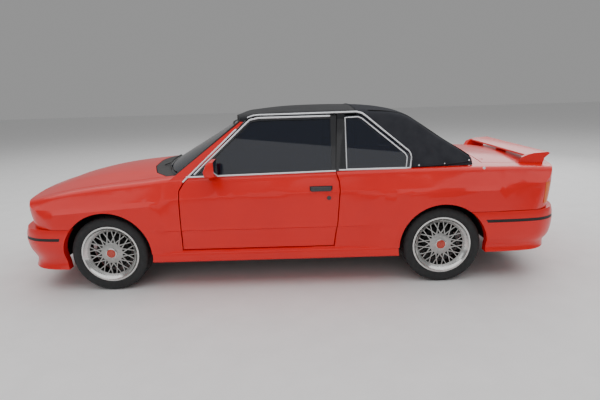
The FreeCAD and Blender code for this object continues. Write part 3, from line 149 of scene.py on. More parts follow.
def tailAcrylic():
    # Clear moulded acrylic, red below and amber above, with fine ribs
    material, tree, shader = newMaterial("lampAcrylicTwoTone", {
        "Roughness": 0.2, "IOR": 1.3, "Coat Weight": 0.25})
    coords = addNode(tree, "ShaderNodeTexCoord")
    parts = addNode(tree, "ShaderNodeSeparateXYZ", {}, {"Vector": coords.outputs["Object"]})
    height = spread(tree, parts.outputs["Z"], 0.0, 1.0, start=0.69, end=0.71)
    colorFrom(tree, shader, height, "6E0400", "C83C00")
    ribs = addNode(tree, "ShaderNodeTexWave", {"Scale": 60.0}, {"Vector": coords.outputs["Object"]})
    bumpFrom(tree, shader, ribs.outputs["Fac"], strength=0.1, distance=0.001)
    return material


# The length over which the wave texture repeats at scale 1
wavePeriod = 0.314


def wovenCloth(name, first, second, settings, pitch, depth):
    # Cloth woven at a real pitch in metres: two crossed bands of thread over a slow change of tone
    material, tree, shader = newMaterial(name, settings)
    colorFrom(tree, shader, mottle(tree, scale=9.0, detail=6.0), first, second)
    coords = addNode(tree, "ShaderNodeTexCoord").outputs["Object"]
    bands = {}
    for k, way in enumerate(("X", "Z")):
        threads = {"bands_direction": way, "Scale": wavePeriod / pitch}
        bands[k] = addNode(tree, "ShaderNodeTexWave", threads, {"Vector": coords}).outputs["Fac"]
    weave = addNode(tree, "ShaderNodeMath", {"operation": "MULTIPLY"}, bands)
    bumpFrom(tree, shader, weave.outputs["Value"], strength=0.5, distance=depth)
    return material


finishes = {
    "paint": redPaint(),
    "blackTrim": plainFinish("blackAbs", "141414", "1B1B1B", {"Roughness": 0.5}, grain=900.0, bump=0.12),
    "liner": plainFinish("linerPolypropylene", "0C0C0C", "131313", {"Roughness": 0.85},
                         grain=300.0, bump=0.3),
    "underbody": plainFinish("stoneGuard", "3A1B16", "2A1512", {"Roughness": 0.75}, grain=260.0, bump=0.3),
    "glass": tintedGlass("tintedGlass", "0B1526", alpha=0.80),
    "vinyl": plainFinish("blackVinyl", "1B1C1F", "242529", {"Roughness": 0.58, "IOR": 1.3},
                         grain=700.0, bump=0.3),
    "canvas": wovenCloth("blackCanvas", "323338", "3A3B40", {"Roughness": 0.95, "IOR": 1.2},
                         pitch=0.0016, depth=0.0003),
    "seatCloth": wovenCloth("seatCloth", "1E1F22", "2A2B2E", {"Roughness": 0.95, "Sheen Weight": 0.3},
                            pitch=0.0030, depth=0.0004),
    "cabinPlastic": plainFinish("cabinPlastic", "1A1A1C", "222224", {"Roughness": 0.65},
                                grain=600.0, bump=0.3),
    "castIron": plainFinish("castIron", "4A4744", "3A3836", {"Roughness": 0.7, "Metallic": 0.7},
                            grain=220.0, bump=0.4),
    "steel": plainFinish("chassisSteel", "2E2E2F", "232324", {"Roughness": 0.55, "Metallic": 0.6},
                         grain=200.0, bump=0.3),
    "alloy": plainFinish("castAlloy", "B6B6B4", "A8A8A6", {"Roughness": 0.33, "Metallic": 1.0},
                         grain=400.0, bump=0.04),
    "rubber": plainFinish("tyreRubber", "252627", "2E2F30", {"Roughness": 0.78}, grain=260.0, bump=0.25),
    "lampClear": tintedGlass("lampGlass", "C8CCD0", alpha=0.45),
    "chrome": plainFinish("brightTrim", "F2F3F6", "EAEBEF", {"Roughness": 0.22, "Metallic": 0.7},
                          grain=300.0, bump=0.01),
    "frameBlack": plainFinish("frameEnamel", "15161A", "1A1B20", {"Roughness": 0.3, "Coat Weight": 0.5},
                              grain=300.0, bump=0.02),
    "handleGrey": plainFinish("handleCasting", "3A3B3D", "444547", {"Roughness": 0.42},
                              grain=500.0, bump=0.1),
    "mirrorGlass": plainFinish("silveredGlass", "C9CDD2", "C2C6CB", {"Roughness": 0.03, "Metallic": 1.0},
                               grain=100.0, bump=0.0),
    "polishedAlloy": plainFinish("turnedAlloy", "DADAD8", "D0D0CE", {"Roughness": 0.16, "Metallic": 1.0},
                                 grain=500.0, bump=0.02),
    # Painted shade: the barrel behind the lattice is near black to stand for the shade in the wheel's recess,
    # not the metal's own colour
    "wheelDark": plainFinish("barrelPaintedShade", "1A1A1A", "121212", {"Roughness": 0.7, "Metallic": 0.2},
                             grain=300.0, bump=0.1),
    "capRed": plainFinish("capEnamel", "B8290F", "C4330F", {"Roughness": 0.25, "Coat Weight": 0.8},
                          grain=300.0, bump=0.02),
    "lampTail": tailAcrylic(),
    "lampAmber": plainFinish("amberAcrylic", "E66400", "EA6A04", {"Roughness": 0.22, "IOR": 1.3},
                             grain=200.0, bump=0.05),
    "seamThread": plainFinish("seamThread", "0B0B0C", "111112", {"Roughness": 0.9}, grain=900.0, bump=0.3),
}
finishOfSlot = {
    "paint": "paint", "black_trim": "blackTrim", "liner": "liner", "underbody": "underbody",
    "lamp_clear": "lampClear", "lamp_red": "lampTail", "glass": "glass", "vinyl": "vinyl", "canvas": "canvas",
    "seat_cloth": "seatCloth", "cabin_plastic": "cabinPlastic", "engine_iron": "castIron", "steel": "steel",
    "alloy": "alloy", "tyre": "rubber",
}
print("finishes made:", len(finishes))


def place(piece, body, slotName, finish=None):
    # Gives a piece its finish and its body
    piece.data.materials.clear()
    piece.data.materials.append(finishes[finish or finishOfSlot[slotName]])
    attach(piece, body)
    return piece


def meshItem(name, form):
    # An object in the scene from a bmesh
    mesh = bpy.data.meshes.new(name)
    form.to_mesh(mesh)
    form.free()
    item = bpy.data.objects.new(name, mesh)
    bpy.context.scene.collection.objects.link(item)
    return item


def newPiece(name, form, body, slotName, finish=None, angle=40):
    # A finished piece from a bmesh: doubles merged, faces outwards, smooth below the angle
    bmesh.ops.remove_doubles(form, verts=form.verts, dist=weld["made"])
    bmesh.ops.recalc_face_normals(form, faces=form.faces)
    limit = math.radians(angle)
    for face in form.faces:
        face.smooth = True
    for line in form.edges:
        line.smooth = len(line.link_faces) == 2 and line.calc_face_angle(math.pi) < limit
    return place(meshItem(name, form), body, slotName, finish)


def mergedForm(node):
    # A CAD node's mesh with its loose triangles merged
    form = bmesh.new()
    form.from_mesh(frame["nodes"][node].data)
    bmesh.ops.remove_doubles(form, verts=form.verts, dist=weld["cad"])
    bmesh.ops.dissolve_degenerate(form, dist=weld["cad"], edges=form.edges)
    return form


def cutForm(form, spot, normal, drop=False):
    # Cuts a bmesh along a plane, and drops what lies past it if asked
    geom = form.verts[:] + form.edges[:] + form.faces[:]
    bmesh.ops.bisect_plane(form, geom=geom, dist=weld["made"], plane_co=spot, plane_no=normal,
                           clear_outer=drop)


def camelName(node):
    # A CAD node's name in the way names are written here
    words = node.split("_")
    return words[0] + "".join(word.capitalize() for word in words[1:])


def skinOf(node, angle=32, cuts=()):
    # A smooth copy of a CAD node that stands for it, cut along some planes for a change of finish
    form = mergedForm(node)
    for spot, normal in cuts:
        cutForm(form, spot, normal)
    piece = newPiece(camelName(node) + "Skin", form, bodyOf[node], slotOf[node], angle=angle)
    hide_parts(node)
    return piece


def repaint(piece, finish, test):
    # Another finish on the faces whose middle and normal pass the test
    piece.data.materials.append(finishes[finish])
    index = len(piece.data.materials) - 1
    for face in piece.data.polygons:
        if test(face.center, face.normal):
            face.material_index = index


def touchTree(nodes):
    # What rays can hit: the surfaces of some CAD nodes
    form = bmesh.new()
    for node in nodes:
        form.from_mesh(frame["nodes"][node].data)
    tree = BVHTree.FromBMesh(form)
    form.free()
    return tree


def firstHit(tree, start, way):
    # The first point that a ray meets, or None
    return tree.ray_cast(Vector(start), Vector(way))[0]


# What the trim lies on: the car without its wheels and mirrors
skinNodes = [node for node in frame["nodes"] if not node.startswith(("tyre", "rim", "mirror", "knuckle"))]
carTree = touchTree(skinNodes)


def onSide(x, z, side, lift=0.0):
    # The point on the outer skin at this place of the side view, lifted off it a little
    hit = firstHit(carTree, (x, side * rayFrom["side"], z), (0, -side, 0))
    return Vector((x, hit.y + side * lift, z)) if hit else None


def evenRun(points, step):
    # Points along a polyline at even steps, its corners kept
    run = [Vector(points[0])]
    for a, b in zip(points, points[1:]):
        a, b = Vector(a), Vector(b)
        count = max(1, round((b - a).length / step))
        run += [a.lerp(b, k / count) for k in range(1, count + 1)]
    return run


def sideRun(path, side, lift, step=0.04):
    # A path of x and z values laid on the outer skin
    run = [onSide(p[0], p[1], side, lift) for p in evenRun([(x, z, 0) for x, z in path], step)]
    return [point for point in run if point]


def downRun(path, lift, step):
    # A path of x and y values laid on top of the car
    run = []
    for p in evenRun([(x, y, 0) for x, y in path], step):
        hit = firstHit(carTree, (p.x, p.y, rayFrom["above"]), (0, 0, -1))
        if hit:
            run.append(hit + Vector((0, 0, lift)))
    return run


def rodAlong(name, points, radius, body, slotName, finish, closed=False):
    # A round moulding, rod or bead through the points
    line = bpy.data.curves.new(name, "CURVE")
    line.dimensions = "3D"
    line.bevel_depth = radius
    line.bevel_resolution = 2
    line.use_fill_caps = True
    run = line.splines.new("POLY")
    run.points.add(len(points) - 1)
    for spot, point in zip(run.points, points):
        spot.co = (*point, 1)
    run.use_cyclic_u = closed
    curveItem = bpy.data.objects.new(name, line)
    form = bmesh.new()
    form.from_mesh(bpy.data.meshes.new_from_object(curveItem))
    bpy.data.objects.remove(curveItem)
    newPiece(name, form, body, slotName, finish, angle=50)


def roundedBlock(name, size, centre, turn, offset, body, slotName, finish):
    # A block with rounded edges
    form = bmesh.new()
    bmesh.ops.create_cube(form, size=1.0)
    bmesh.ops.scale(form, vec=size, verts=form.verts)
    bmesh.ops.bevel(form, geom=form.edges[:], offset=offset, segments=3, profile=0.5, affect="EDGES",
                    material=-1)
    bmesh.ops.rotate(form, matrix=turn, verts=form.verts, cent=(0, 0, 0))
    bmesh.ops.translate(form, vec=centre, verts=form.verts)
    newPiece(name, form, body, slotName, finish)


def sideButton(name, button, side, body, finish):
    # A round button on the car's side, with a rim round its face
    form = bmesh.new()
    bmesh.ops.create_cone(form, cap_ends=True, segments=button["segments"], radius1=button["foot"],
                          radius2=button["face"], depth=button["deep"])
    ends = [face for face in form.faces if len(face.verts) > 4]
    bmesh.ops.inset_individual(form, faces=ends, thickness=button["rim"], depth=button["raised"])
    bmesh.ops.rotate(form, matrix=Matrix.Rotation(math.pi / 2 * side, 3, "X"), verts=form.verts,
                     cent=(0, 0, 0))
    bmesh.ops.translate(form, vec=onSide(button["x"], button["z"], side, button["lift"]), verts=form.verts)
    newPiece(name, form, body, "black_trim", finish)


def spunForm(outline, axis, steps):
    # A closed outline spun right round an axis through the origin
    form = bmesh.new()
    spots = [form.verts.new(point) for point in outline]
    lines = [form.edges.new((a, b)) for a, b in zip(spots, spots[1:] + spots[:1])]
    bmesh.ops.spin(form, geom=spots + lines, cent=(0, 0, 0), axis=axis, steps=steps, angle=2 * math.pi,
                   use_merge=True)
    return form


def lathe(name, profile, axleX, side, body, slotName, finish, steps, after=None, angle=40):
    # A full spin about a wheel's axle from (distance out from the wheel's middle, radius) points
    form = spunForm([(0, out * side, radius) for out, radius in profile], (0, 1, 0), steps)
    bmesh.ops.remove_doubles(form, verts=form.verts, dist=weld["made"])
    bmesh.ops.recalc_face_normals(form, faces=form.faces)
    if after:
        after(form)
    bmesh.ops.translate(form, vec=(axleX, side * car["wheelPlane"], car["tyreRadius"]), verts=form.verts)
    return newPiece(name, form, body, slotName, finish, angle)


# Painted panels and plain mechanical parts: smooth copies
plainNodes = [
    "front_frame", "nose_panel", "grille", "bumper_front", "bumper_rear", "bumper_strips", "quarter_panels",
    "front_wings", "side_skirts", "tail_panel", "rear_deck", "wheel_houses", "floor_pan", "scuttle",
    "roof_panel", "dashboard", "engine", "exhaust", "rear_axle", "front_arms", "bonnet", "boot_lid",
    "rear_wing", "steering_wheel", "knuckle_left", "knuckle_right", "windscreen", "quarter_glass",
    "rear_window", "door_glass_left", "door_glass_right", "headlamps",
]
for node in plainNodes:
    skinOf(node)
print("panels smoothed:", len(plainNodes))

# Cabin frame: red windscreen pillars, black header, roof rails, hoop and rear pillars
frameLines = {"headerZ": 1.268, "screenTopZ": 1.235, "headerHalf": 0.548, "pillarX": 0.30, "sillZ": 0.86}
cabinFrame = skinOf("cabin_frame", cuts=[
    ((0, 0, frameLines["headerZ"]), (0, 0, 1)), ((0, 0, frameLines["screenTopZ"]), (0, 0, 1)),
    ((0, frameLines["headerHalf"], 0), (0, 1, 0)), ((0, -frameLines["headerHalf"], 0), (0, 1, 0)),
    ((frameLines["pillarX"], 0, 0), (1, 0, 0))])
repaint(cabinFrame, "frameBlack", lambda c, n: c.x > frameLines["pillarX"] and c.z > frameLines["sillZ"])
repaint(cabinFrame, "vinyl", lambda c, n: c.z > frameLines["headerZ"]
        or (c.z > frameLines["screenTopZ"] and abs(c.y) < frameLines["headerHalf"] and c.x < 0))

# Doors: red up to the belt, satin black window frame above it, and a plastic lining inside
doorLines = {
    "beltFrontZ": 0.874, "beltRearZ": 0.8895,
    "liningHalf": 0.715, "liningFrontX": -0.7825, "liningRearX": 0.3225, "liningFacing": 0.8,
}
beltSlope = (doorLines["beltRearZ"] - doorLines["beltFrontZ"]) / (car["doorRearX"] - car["doorFrontX"])


def beltHeight(x):
    # The height of the belt line at a station along the door
    return doorLines["beltFrontZ"] + beltSlope * (x - car["doorFrontX"])


def onLining(c, n):
    # Whether a face belongs to the lining
    inside = abs(c.y) < doorLines["liningHalf"] and abs(n.y) > doorLines["liningFacing"]
    return inside and c.z < beltHeight(c.x) and doorLines["liningFrontX"] < c.x < doorLines["liningRearX"]


beltPlane = ((car["doorFrontX"], 0, doorLines["beltFrontZ"]), (-beltSlope, 0, 1))
for name in sides:
    door = skinOf("door_" + name, cuts=[beltPlane])
    repaint(door, "frameBlack", lambda c, n: c.z > beltHeight(c.x))
    repaint(door, "cabinPlastic", onLining)

# Tail lamps: ribbed red and amber acrylic, and amber ends that wrap the corners
tailEnd = {
    "halfY": 0.615, "fromX": 1.944, "lowZ": 0.602, "highZ": 0.766, "innerY": 0.69,
    "outX": 0.5, "outY": 0.85, "facing": 0.4, "proud": 0.0025, "thick": 0.0035,
}
tailLamps = skinOf("tail_lamps", cuts=[((0, way * tailEnd["halfY"], 0), (0, 1, 0)) for way in (1, -1)])
repaint(tailLamps, "lampAmber", lambda c, n: abs(c.y) > tailEnd["halfY"])


def makeSideLens(name, side):
    # The lamp's end that wraps the corner, a thin lens laid over the quarter panel
    form = mergedForm("quarter_panels")
    cutForm(form, (tailEnd["fromX"], 0, 0), (-1, 0, 0), drop=True)
    cutForm(form, (0, 0, tailEnd["lowZ"]), (0, 0, -1), drop=True)
    cutForm(form, (0, 0, tailEnd["highZ"]), (0, 0, 1), drop=True)
    cutForm(form, (0, side * tailEnd["innerY"], 0), (0, -side, 0), drop=True)
    form.normal_update()
    outwards = Vector((tailEnd["outX"], side * tailEnd["outY"], 0))
    inner = [face for face in form.faces if face.normal.dot(outwards) < tailEnd["facing"]]
    bmesh.ops.delete(form, geom=inner, context="FACES")
    form.normal_update()
    for vert in form.verts:
        vert.co += vert.normal * tailEnd["proud"]
    bmesh.ops.solidify(form, geom=form.faces[:], thickness=tailEnd["thick"])
    newPiece("tailLampSide" + name.title(), form, "body", "lamp_red", "lampAmber")


for name, side in sides.items():
    makeSideLens(name, side)

# Bright mouldings: over the roof rail, round the door's window, on the belt, and round the quarter window
mouldings = {
    "railMoulding": {
        "onDoor": False, "closed": False, "lift": 0.003, "radius": 0.0072,
        "path": [(-0.779, 0.842), (-0.580, 1.023), (-0.3175, 1.262), (-0.276, 1.298), (-0.240, 1.309),
                 (-0.200, 1.313), (0.10, 1.315), (0.55, 1.317), (0.590, 1.307), (0.622, 1.284),
                 (0.938, 1.018), (0.951, 0.998), (0.956, 0.973), (0.942, 0.892)],
    },
    "doorMoulding": {
        "onDoor": True, "closed": False, "lift": 0.002, "radius": 0.0072,
        "path": [(-0.692, 0.893), (-0.286, 1.262), (-0.262, 1.281), (-0.235, 1.290), (-0.200, 1.293),
                 (0.348, 1.293)],
    },
    "beltMoulding": {
        "onDoor": True, "closed": False, "lift": 0.004, "radius": 0.0072,
        "path": [(x, beltHeight(x) + 0.002) for x in (-0.7505, 0.3765)],
    },
    "quarterMoulding": {
        "onDoor": False, "closed": True, "lift": 0.003, "radius": 0.0055,
        "path": [(0.462, 0.900), (0.462, 1.276), (0.560, 1.280), (0.590, 1.268), (0.905, 1.004),
                 (0.918, 0.985), (0.921, 0.970), (0.910, 0.900)],
    },
    "quarterBelt": {
        "onDoor": False, "closed": False, "lift": 0.003, "radius": 0.0072,
        "path": [(0.402, 0.8935), (0.94, 0.8935)],
    },
}
for name, side in sides.items():
    for label, moulding in mouldings.items():
        body = "door_" + name if moulding["onDoor"] else "body"
        run = sideRun(moulding["path"], side, moulding["lift"])
        rodAlong(label + name.title(), run, moulding["radius"], body, "black_trim", "chrome",
                 moulding["closed"])
print("bright mouldings laid on")

# Door handle, lock, and mirror with its glass
handle = {
    "fromX": 0.185, "toX": 0.338, "height": 0.767, "lean": 0.06,
    "deep": 0.018, "tall": 0.034, "out": 0.009, "up": 0.004, "offset": 0.006,
}
pocket = {"wider": 0.016, "taller": 0.018, "deep": 0.006, "out": 0.0005, "offset": 0.0028}
doorLock = {
    "x": 0.319, "z": 0.703, "lift": 0.0, "foot": 0.016, "face": 0.014, "deep": 0.007, "rim": 0.003,
    "raised": -0.001, "segments": 32,
}
mirrorForm = {
    "flatAngle": 0.02, "cornerAngle": 0.3, "shortest": 0.012, "offset": 0.006,
    "footY": 0.78, "glassY": 0.8, "glassFacing": 0.9,
}


def makeHandle(name, side):
    # A bar over a shallow pocket
    body = "door_" + name
    wide = handle["toX"] - handle["fromX"]
    skinPoint = onSide((handle["fromX"] + handle["toX"]) / 2, handle["height"], side)
    lean = Matrix.Rotation(handle["lean"] * side, 3, "X")
    size = (wide + pocket["wider"], pocket["deep"], handle["tall"] + pocket["taller"])
    spot = skinPoint + Vector((0, side * pocket["out"], 0))
    roundedBlock("handlePocket" + name.title(), size, spot, lean, pocket["offset"], body, "black_trim",
                 "blackTrim")
    size = (wide, handle["deep"], handle["tall"])
    spot = skinPoint + Vector((0, side * handle["out"], handle["up"]))
    roundedBlock("handleBar" + name.title(), size, spot, lean, handle["offset"], body, "black_trim",
                 "handleGrey")


def makeMirror(name):
    # The CAD mirror with rounded corners, a black foot and its glass
    form = mergedForm("mirror_" + name)
    bmesh.ops.dissolve_limit(form, angle_limit=mirrorForm["flatAngle"], verts=form.verts, edges=form.edges)
    corners = [line for line in form.edges
               if line.calc_face_angle(0) > mirrorForm["cornerAngle"]
               and line.calc_length() > mirrorForm["shortest"]]
    bmesh.ops.bevel(form, geom=corners, offset=mirrorForm["offset"], segments=3, profile=0.5, affect="EDGES",
                    material=-1, clamp_overlap=True)
    mirror = newPiece("mirror" + name.title() + "Skin", form, "door_" + name, "paint", angle=50)
    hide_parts("mirror_" + name)
    repaint(mirror, "blackTrim", lambda c, n: abs(c.y) < mirrorForm["footY"])
    repaint(mirror, "mirrorGlass",
            lambda c, n: n.x > mirrorForm["glassFacing"] and abs(c.y) > mirrorForm["glassY"])


for name, side in sides.items():
    makeHandle(name, side)
    sideButton("doorLock" + name.title(), doorLock, side, "door_" + name, "handleGrey")
    makeMirror(name)
print("door fittings made")

# Windscreen seal, wipers, and the seam across the roof
screen = {
    "lowZ": 0.878, "highZ": 1.266, "lowX": -0.8465, "highX": -0.3425, "lowHalf": 0.660, "highHalf": 0.556,
    "sealRadius": 0.010, "sealIn": 0.004, "sealUp": 0.002, "sealSteps": 8,
    "topZ": 1.240, "topHalf": 0.54, "topStep": 0.06, "topLift": 0.003, "topRadius": 0.007, "upPerLift": 0.6,
}
wipers = {
    "A": {"start": (-0.64, 0.897), "end": (0.06, 0.937), "pivotY": -0.32},
    "B": {"start": (-0.08, 0.912), "end": (0.60, 0.917), "pivotY": 0.24},
}
wiperForm = {
    "steps": 8, "lift": 0.012, "bladeRadius": 0.005, "armRadius": 0.0045,
    "footBack": 0.075, "footDown": 0.052, "bendBack": 0.045, "bendDown": 0.012,
}
roofSeam = {"x": 0.5445, "half": 0.56, "step": 0.04, "radius": 0.005}
screenTree = touchTree(["windscreen"])


def screenPoint(y, z, lift):
    # The point on the windscreen seen from ahead at this place, lifted off the glass
    hit = firstHit(screenTree, (rayFrom["ahead"], y, z), (1, 0, 0))
    return hit + Vector((-lift, 0, lift * screen["upPerLift"])) if hit else None


def sideSeal(name, side):
    # The seal down one side of the windscreen
    run = []
    for k in range(screen["sealSteps"] + 1):
        t = k / screen["sealSteps"]
        half = screen["lowHalf"] + t * (screen["highHalf"] - screen["lowHalf"])
        run.append((screen["lowX"] + t * (screen["highX"] - screen["lowX"]) - screen["sealIn"],
                    side * (half - screen["sealIn"]),
                    screen["lowZ"] + t * (screen["highZ"] - screen["lowZ"]) + screen["sealUp"]))
    rodAlong("screenSeal" + name.title(), run, screen["sealRadius"], "body", "black_trim", "blackTrim")


def makeWiper(label, wiper):
    # A blade laid on the glass, and the bent arm that holds its middle
    blade = []
    for k in range(wiperForm["steps"] + 1):
        y, z = Vector(wiper["start"]).lerp(Vector(wiper["end"]), k / wiperForm["steps"])
        point = screenPoint(y, z, wiperForm["lift"])
        if point:
            blade.append(point)
    rodAlong("wiperBlade" + label, blade, wiperForm["bladeRadius"], "body", "black_trim", "blackTrim")
    middle = blade[len(blade) // 2]
    foot = Vector((middle.x - wiperForm["footBack"], wiper["pivotY"], middle.z - wiperForm["footDown"]))
    bend = Vector((middle.x - wiperForm["bendBack"], (foot.y + middle.y) / 2,
                   middle.z - wiperForm["bendDown"]))
    rodAlong("wiperArm" + label, [foot, bend, middle], wiperForm["armRadius"], "body", "black_trim",
             "blackTrim")


for name, side in sides.items():
    sideSeal(name, side)
topLine = evenRun([(0, -screen["topHalf"], 0), (0, screen["topHalf"], 0)], screen["topStep"])
topPoints = [screenPoint(p.y, screen["topZ"], screen["topLift"]) for p in topLine]
rodAlong("screenSealTop", [point for point in topPoints if point], screen["topRadius"], "body", "black_trim",
         "blackTrim")
for label, wiper in wipers.items():
    makeWiper(label, wiper)
seamPath = [(roofSeam["x"], -roofSeam["half"]), (roofSeam["x"], roofSeam["half"])]
rodAlong("roofSeam", downRun(seamPath, 0.0, roofSeam["step"]), roofSeam["radius"], "body", "vinyl", "canvas")
print("screen and roof trim made")

# Soft top: one stretched sheet of black cloth over its bows, with sewn seams and a welt along its lower edge
softTop = {
    "voxel": 0.010, "thick": 0.005, "axisZ": 0.86, "rearX": 1.0, "leastUp": 0.02, "facing": 0.30,
    "bows": (0.5445, 0.90, 1.02), "bowReach": 0.12, "sag": 0.0060, "evenSag": 0.45, "rippleSag": 0.8,
    "rippleScale": (5, 5, 9), "smoothing": 4,
}
clothSeam = {
    "path": [(0.64, 0.56), (0.82, 0.545), (0.98, 0.52), (1.16, 0.53), (1.30, 0.57), (1.42, 0.62)],
    "step": 0.03, "lift": -0.001, "radius": 0.0035,
}
clothWelt = {"path": [(0.952, 0.903), (1.10, 0.905), (1.25, 0.912), (1.40, 0.925)], "radius": 0.006}
clothSnap = {"A": (1.01, 0.908), "B": (1.21, 0.913), "C": (1.40, 0.930)}
snapForm = {"radius": 0.008, "flatness": 0.5, "lift": 0.003}
turnButton = {
    "x": 1.494, "z": 0.878, "lift": 0.001, "foot": 0.012, "face": 0.009, "deep": 0.006, "rim": 0.004,
    "raised": 0.004, "segments": 24,
}


def evenMesh(piece, voxel):
    # The piece's mesh rebuilt from even squares
    remesh = piece.modifiers.new("even", "REMESH")
    remesh.mode = "VOXEL"
    remesh.voxel_size = voxel
    graph = bpy.context.evaluated_depsgraph_get()
    even = bpy.data.meshes.new_from_object(piece.evaluated_get(graph))
    piece.modifiers.clear()
    return even


def islands(form):
    # Groups of joined vertices
    left, groups = set(form.verts), []
    while left:
        stack, group = [left.pop()], []
        while stack:
            vert = stack.pop()
            group.append(vert)
            for line in vert.link_edges:
                other = line.other_vert(vert)
                if other in left:
                    left.remove(other)
                    stack.append(other)
        groups.append(group)
    return groups


def looksInward(face):
    # Whether a face of the top looks into the cabin
    middle = face.calc_center_median()
    out = Vector((max(middle.x - softTop["rearX"], 0.0), middle.y,
                  max(middle.z - softTop["axisZ"], softTop["leastUp"])))
    return face.normal.dot(out.normalized()) < softTop["facing"]


def makeSoftTop():
    # The outer skin of the solid top, slack between its bows, and given a cloth's thickness
    piece = meshItem("softTopCloth", mergedForm("soft_top"))
    even = evenMesh(piece, softTop["voxel"])
    bpy.data.objects.remove(piece)
    form = bmesh.new()
    form.from_mesh(even)
    bmesh.ops.delete(form, geom=[face for face in form.faces if looksInward(face)], context="FACES")
    loose = sorted(islands(form), key=len)[:-1]
    bmesh.ops.delete(form, geom=[vert for group in loose for vert in group], context="VERTS")
    for k in range(softTop["smoothing"]):
        bmesh.ops.smooth_vert(form, verts=[vert for vert in form.verts if not vert.is_boundary], factor=0.5,
                              use_axis_x=True, use_axis_y=True, use_axis_z=True)
    form.normal_update()
    moves = []
    for vert in form.verts:
        near = min(abs(vert.co.x - bow) for bow in softTop["bows"])
        slack = min(near / softTop["bowReach"], 1.0)
        ripple = noise.noise(vert.co * Vector(softTop["rippleScale"]))
        depth = softTop["sag"] * slack * (softTop["evenSag"] + softTop["rippleSag"] * ripple)
        moves.append(vert.normal * -depth)
    for vert, move in zip(form.verts, moves):
        vert.co += move
    bmesh.ops.recalc_face_normals(form, faces=form.faces)
    bmesh.ops.solidify(form, geom=form.faces[:], thickness=softTop["thick"])
    cloth = newPiece("softTopCloth", form, "body", "canvas", "canvas", angle=60)
    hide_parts("soft_top")


def makeSnap(name, x, z, side):
    # A domed press stud on the cloth's edge
    form = bmesh.new()
    bmesh.ops.create_uvsphere(form, u_segments=20, v_segments=10, radius=snapForm["radius"])
    bmesh.ops.scale(form, vec=(1, snapForm["flatness"], 1), verts=form.verts)
    bmesh.ops.translate(form, vec=onSide(x, z, side, snapForm["lift"]), verts=form.verts)
    newPiece(name, form, "body", "black_trim", "chrome")


makeSoftTop()
for name, side in sides.items():
    seam = downRun([(x, y * side) for x, y in clothSeam["path"]], clothSeam["lift"], clothSeam["step"])
    rodAlong("clothSeam" + name.title(), seam, clothSeam["radius"], "body", "canvas", "seamThread")
    edge = sideRun(clothWelt["path"], side, 0.0)
    rodAlong("clothWelt" + name.title(), edge, clothWelt["radius"], "body", "canvas", "canvas")
    for label, (x, z) in clothSnap.items():
        makeSnap("clothSnap" + label + name.title(), x, z, side)
for name, side in sides.items():
    sideButton("turnButton" + name.title(), turnButton, side, "body", "chrome")
print("soft top sewn")

# Seats and rear bench: swollen cloth pads over the forms of their solids
pads = {
    "front_seats": {"voxel": 0.012, "pressure": 3.0, "cap": 0.012},
    "rear_bench": {"voxel": 0.014, "pressure": 3.0, "cap": 0.014},
}
swelling = {"frames": 14, "quality": 4}


def swell(piece, pad):
    # Cloth under pressure, each point's move capped, with its result left as a plain mesh
    starts = [vert.co.copy() for vert in piece.data.vertices]
    cloth = piece.modifiers.new("swell", "CLOTH")
    cloth.settings.use_pressure = True
    cloth.settings.uniform_pressure_force = pad["pressure"]
    cloth.settings.effector_weights.gravity = 0.0
    cloth.settings.quality = swelling["quality"]
    cloth.collision_settings.use_collision = False
    for step in range(1, swelling["frames"] + 1):
        bpy.context.scene.frame_set(step)
    graph = bpy.context.evaluated_depsgraph_get()
    swollen = bpy.data.meshes.new_from_object(piece.evaluated_get(graph))
    piece.modifiers.clear()
    piece.data = swollen
    for vert, start in zip(swollen.vertices, starts):
        move = vert.co - start
        if move.length > pad["cap"]:
            vert.co = start + move * (pad["cap"] / move.length)
    bpy.context.scene.frame_set(1)


def makePads(node, pad):
    # A seat's solid made even, swollen and smoothed
    piece = meshItem(camelName(node) + "Pads", mergedForm(node))
    piece.data = evenMesh(piece, pad["voxel"])
    swell(piece, pad)
    for face in piece.data.polygons:
        face.use_smooth = True
    smoother = piece.modifiers.new("round", "SUBSURF")
    smoother.levels = 1
    smoother.render_levels = 1
    place(piece, bodyOf[node], slotOf[node])
    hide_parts(node)


for node, pad in pads.items():
    makePads(node, pad)
print("seats padded")

# Wheels: tyre with grooved tread, painted shade on the barrel behind the bright lattice, and a red cap in a
# bright ring
tyreForm = {"steps": 120, "blockSteps": 3, "blockDeep": 0.0045, "shoulder": 0.2925, "ribHalf": 0.060}
tyreProfile = [
    (0.0815, 0.2172), (0.0817, 0.2232), (0.0930, 0.2262), (0.0975, 0.2330), (0.0992, 0.2365),
    (0.0980, 0.2385), (0.1015, 0.2480), (0.1024, 0.2580), (0.1016, 0.2680), (0.0985, 0.2780),
    (0.0945, 0.2855), (0.0880, 0.2915), (0.0780, 0.2952), (0.0600, 0.2958), (0.0590, 0.2890),
    (0.0520, 0.2890), (0.0510, 0.2960), (0.0230, 0.2960), (0.0220, 0.2890), (0.0140, 0.2890),
    (0.0130, 0.2960),
]
rimLines = {"barrelOut": 0.0435, "barrelRadius": 0.213, "lipOut": 0.045, "lipRadius": 0.187}
capForm = {
    "steps": 64,
    "ring": [(0.069, 0.0), (0.0745, 0.0), (0.0745, 0.040), (0.0725, 0.0425), (0.064, 0.0425), (0.064, 0.0)],
    "dome": [(0.072, 0.0), (0.0795, 0.0), (0.0790, 0.020), (0.0768, 0.031), (0.0745, 0.0345),
             (0.072, 0.0345)],
}


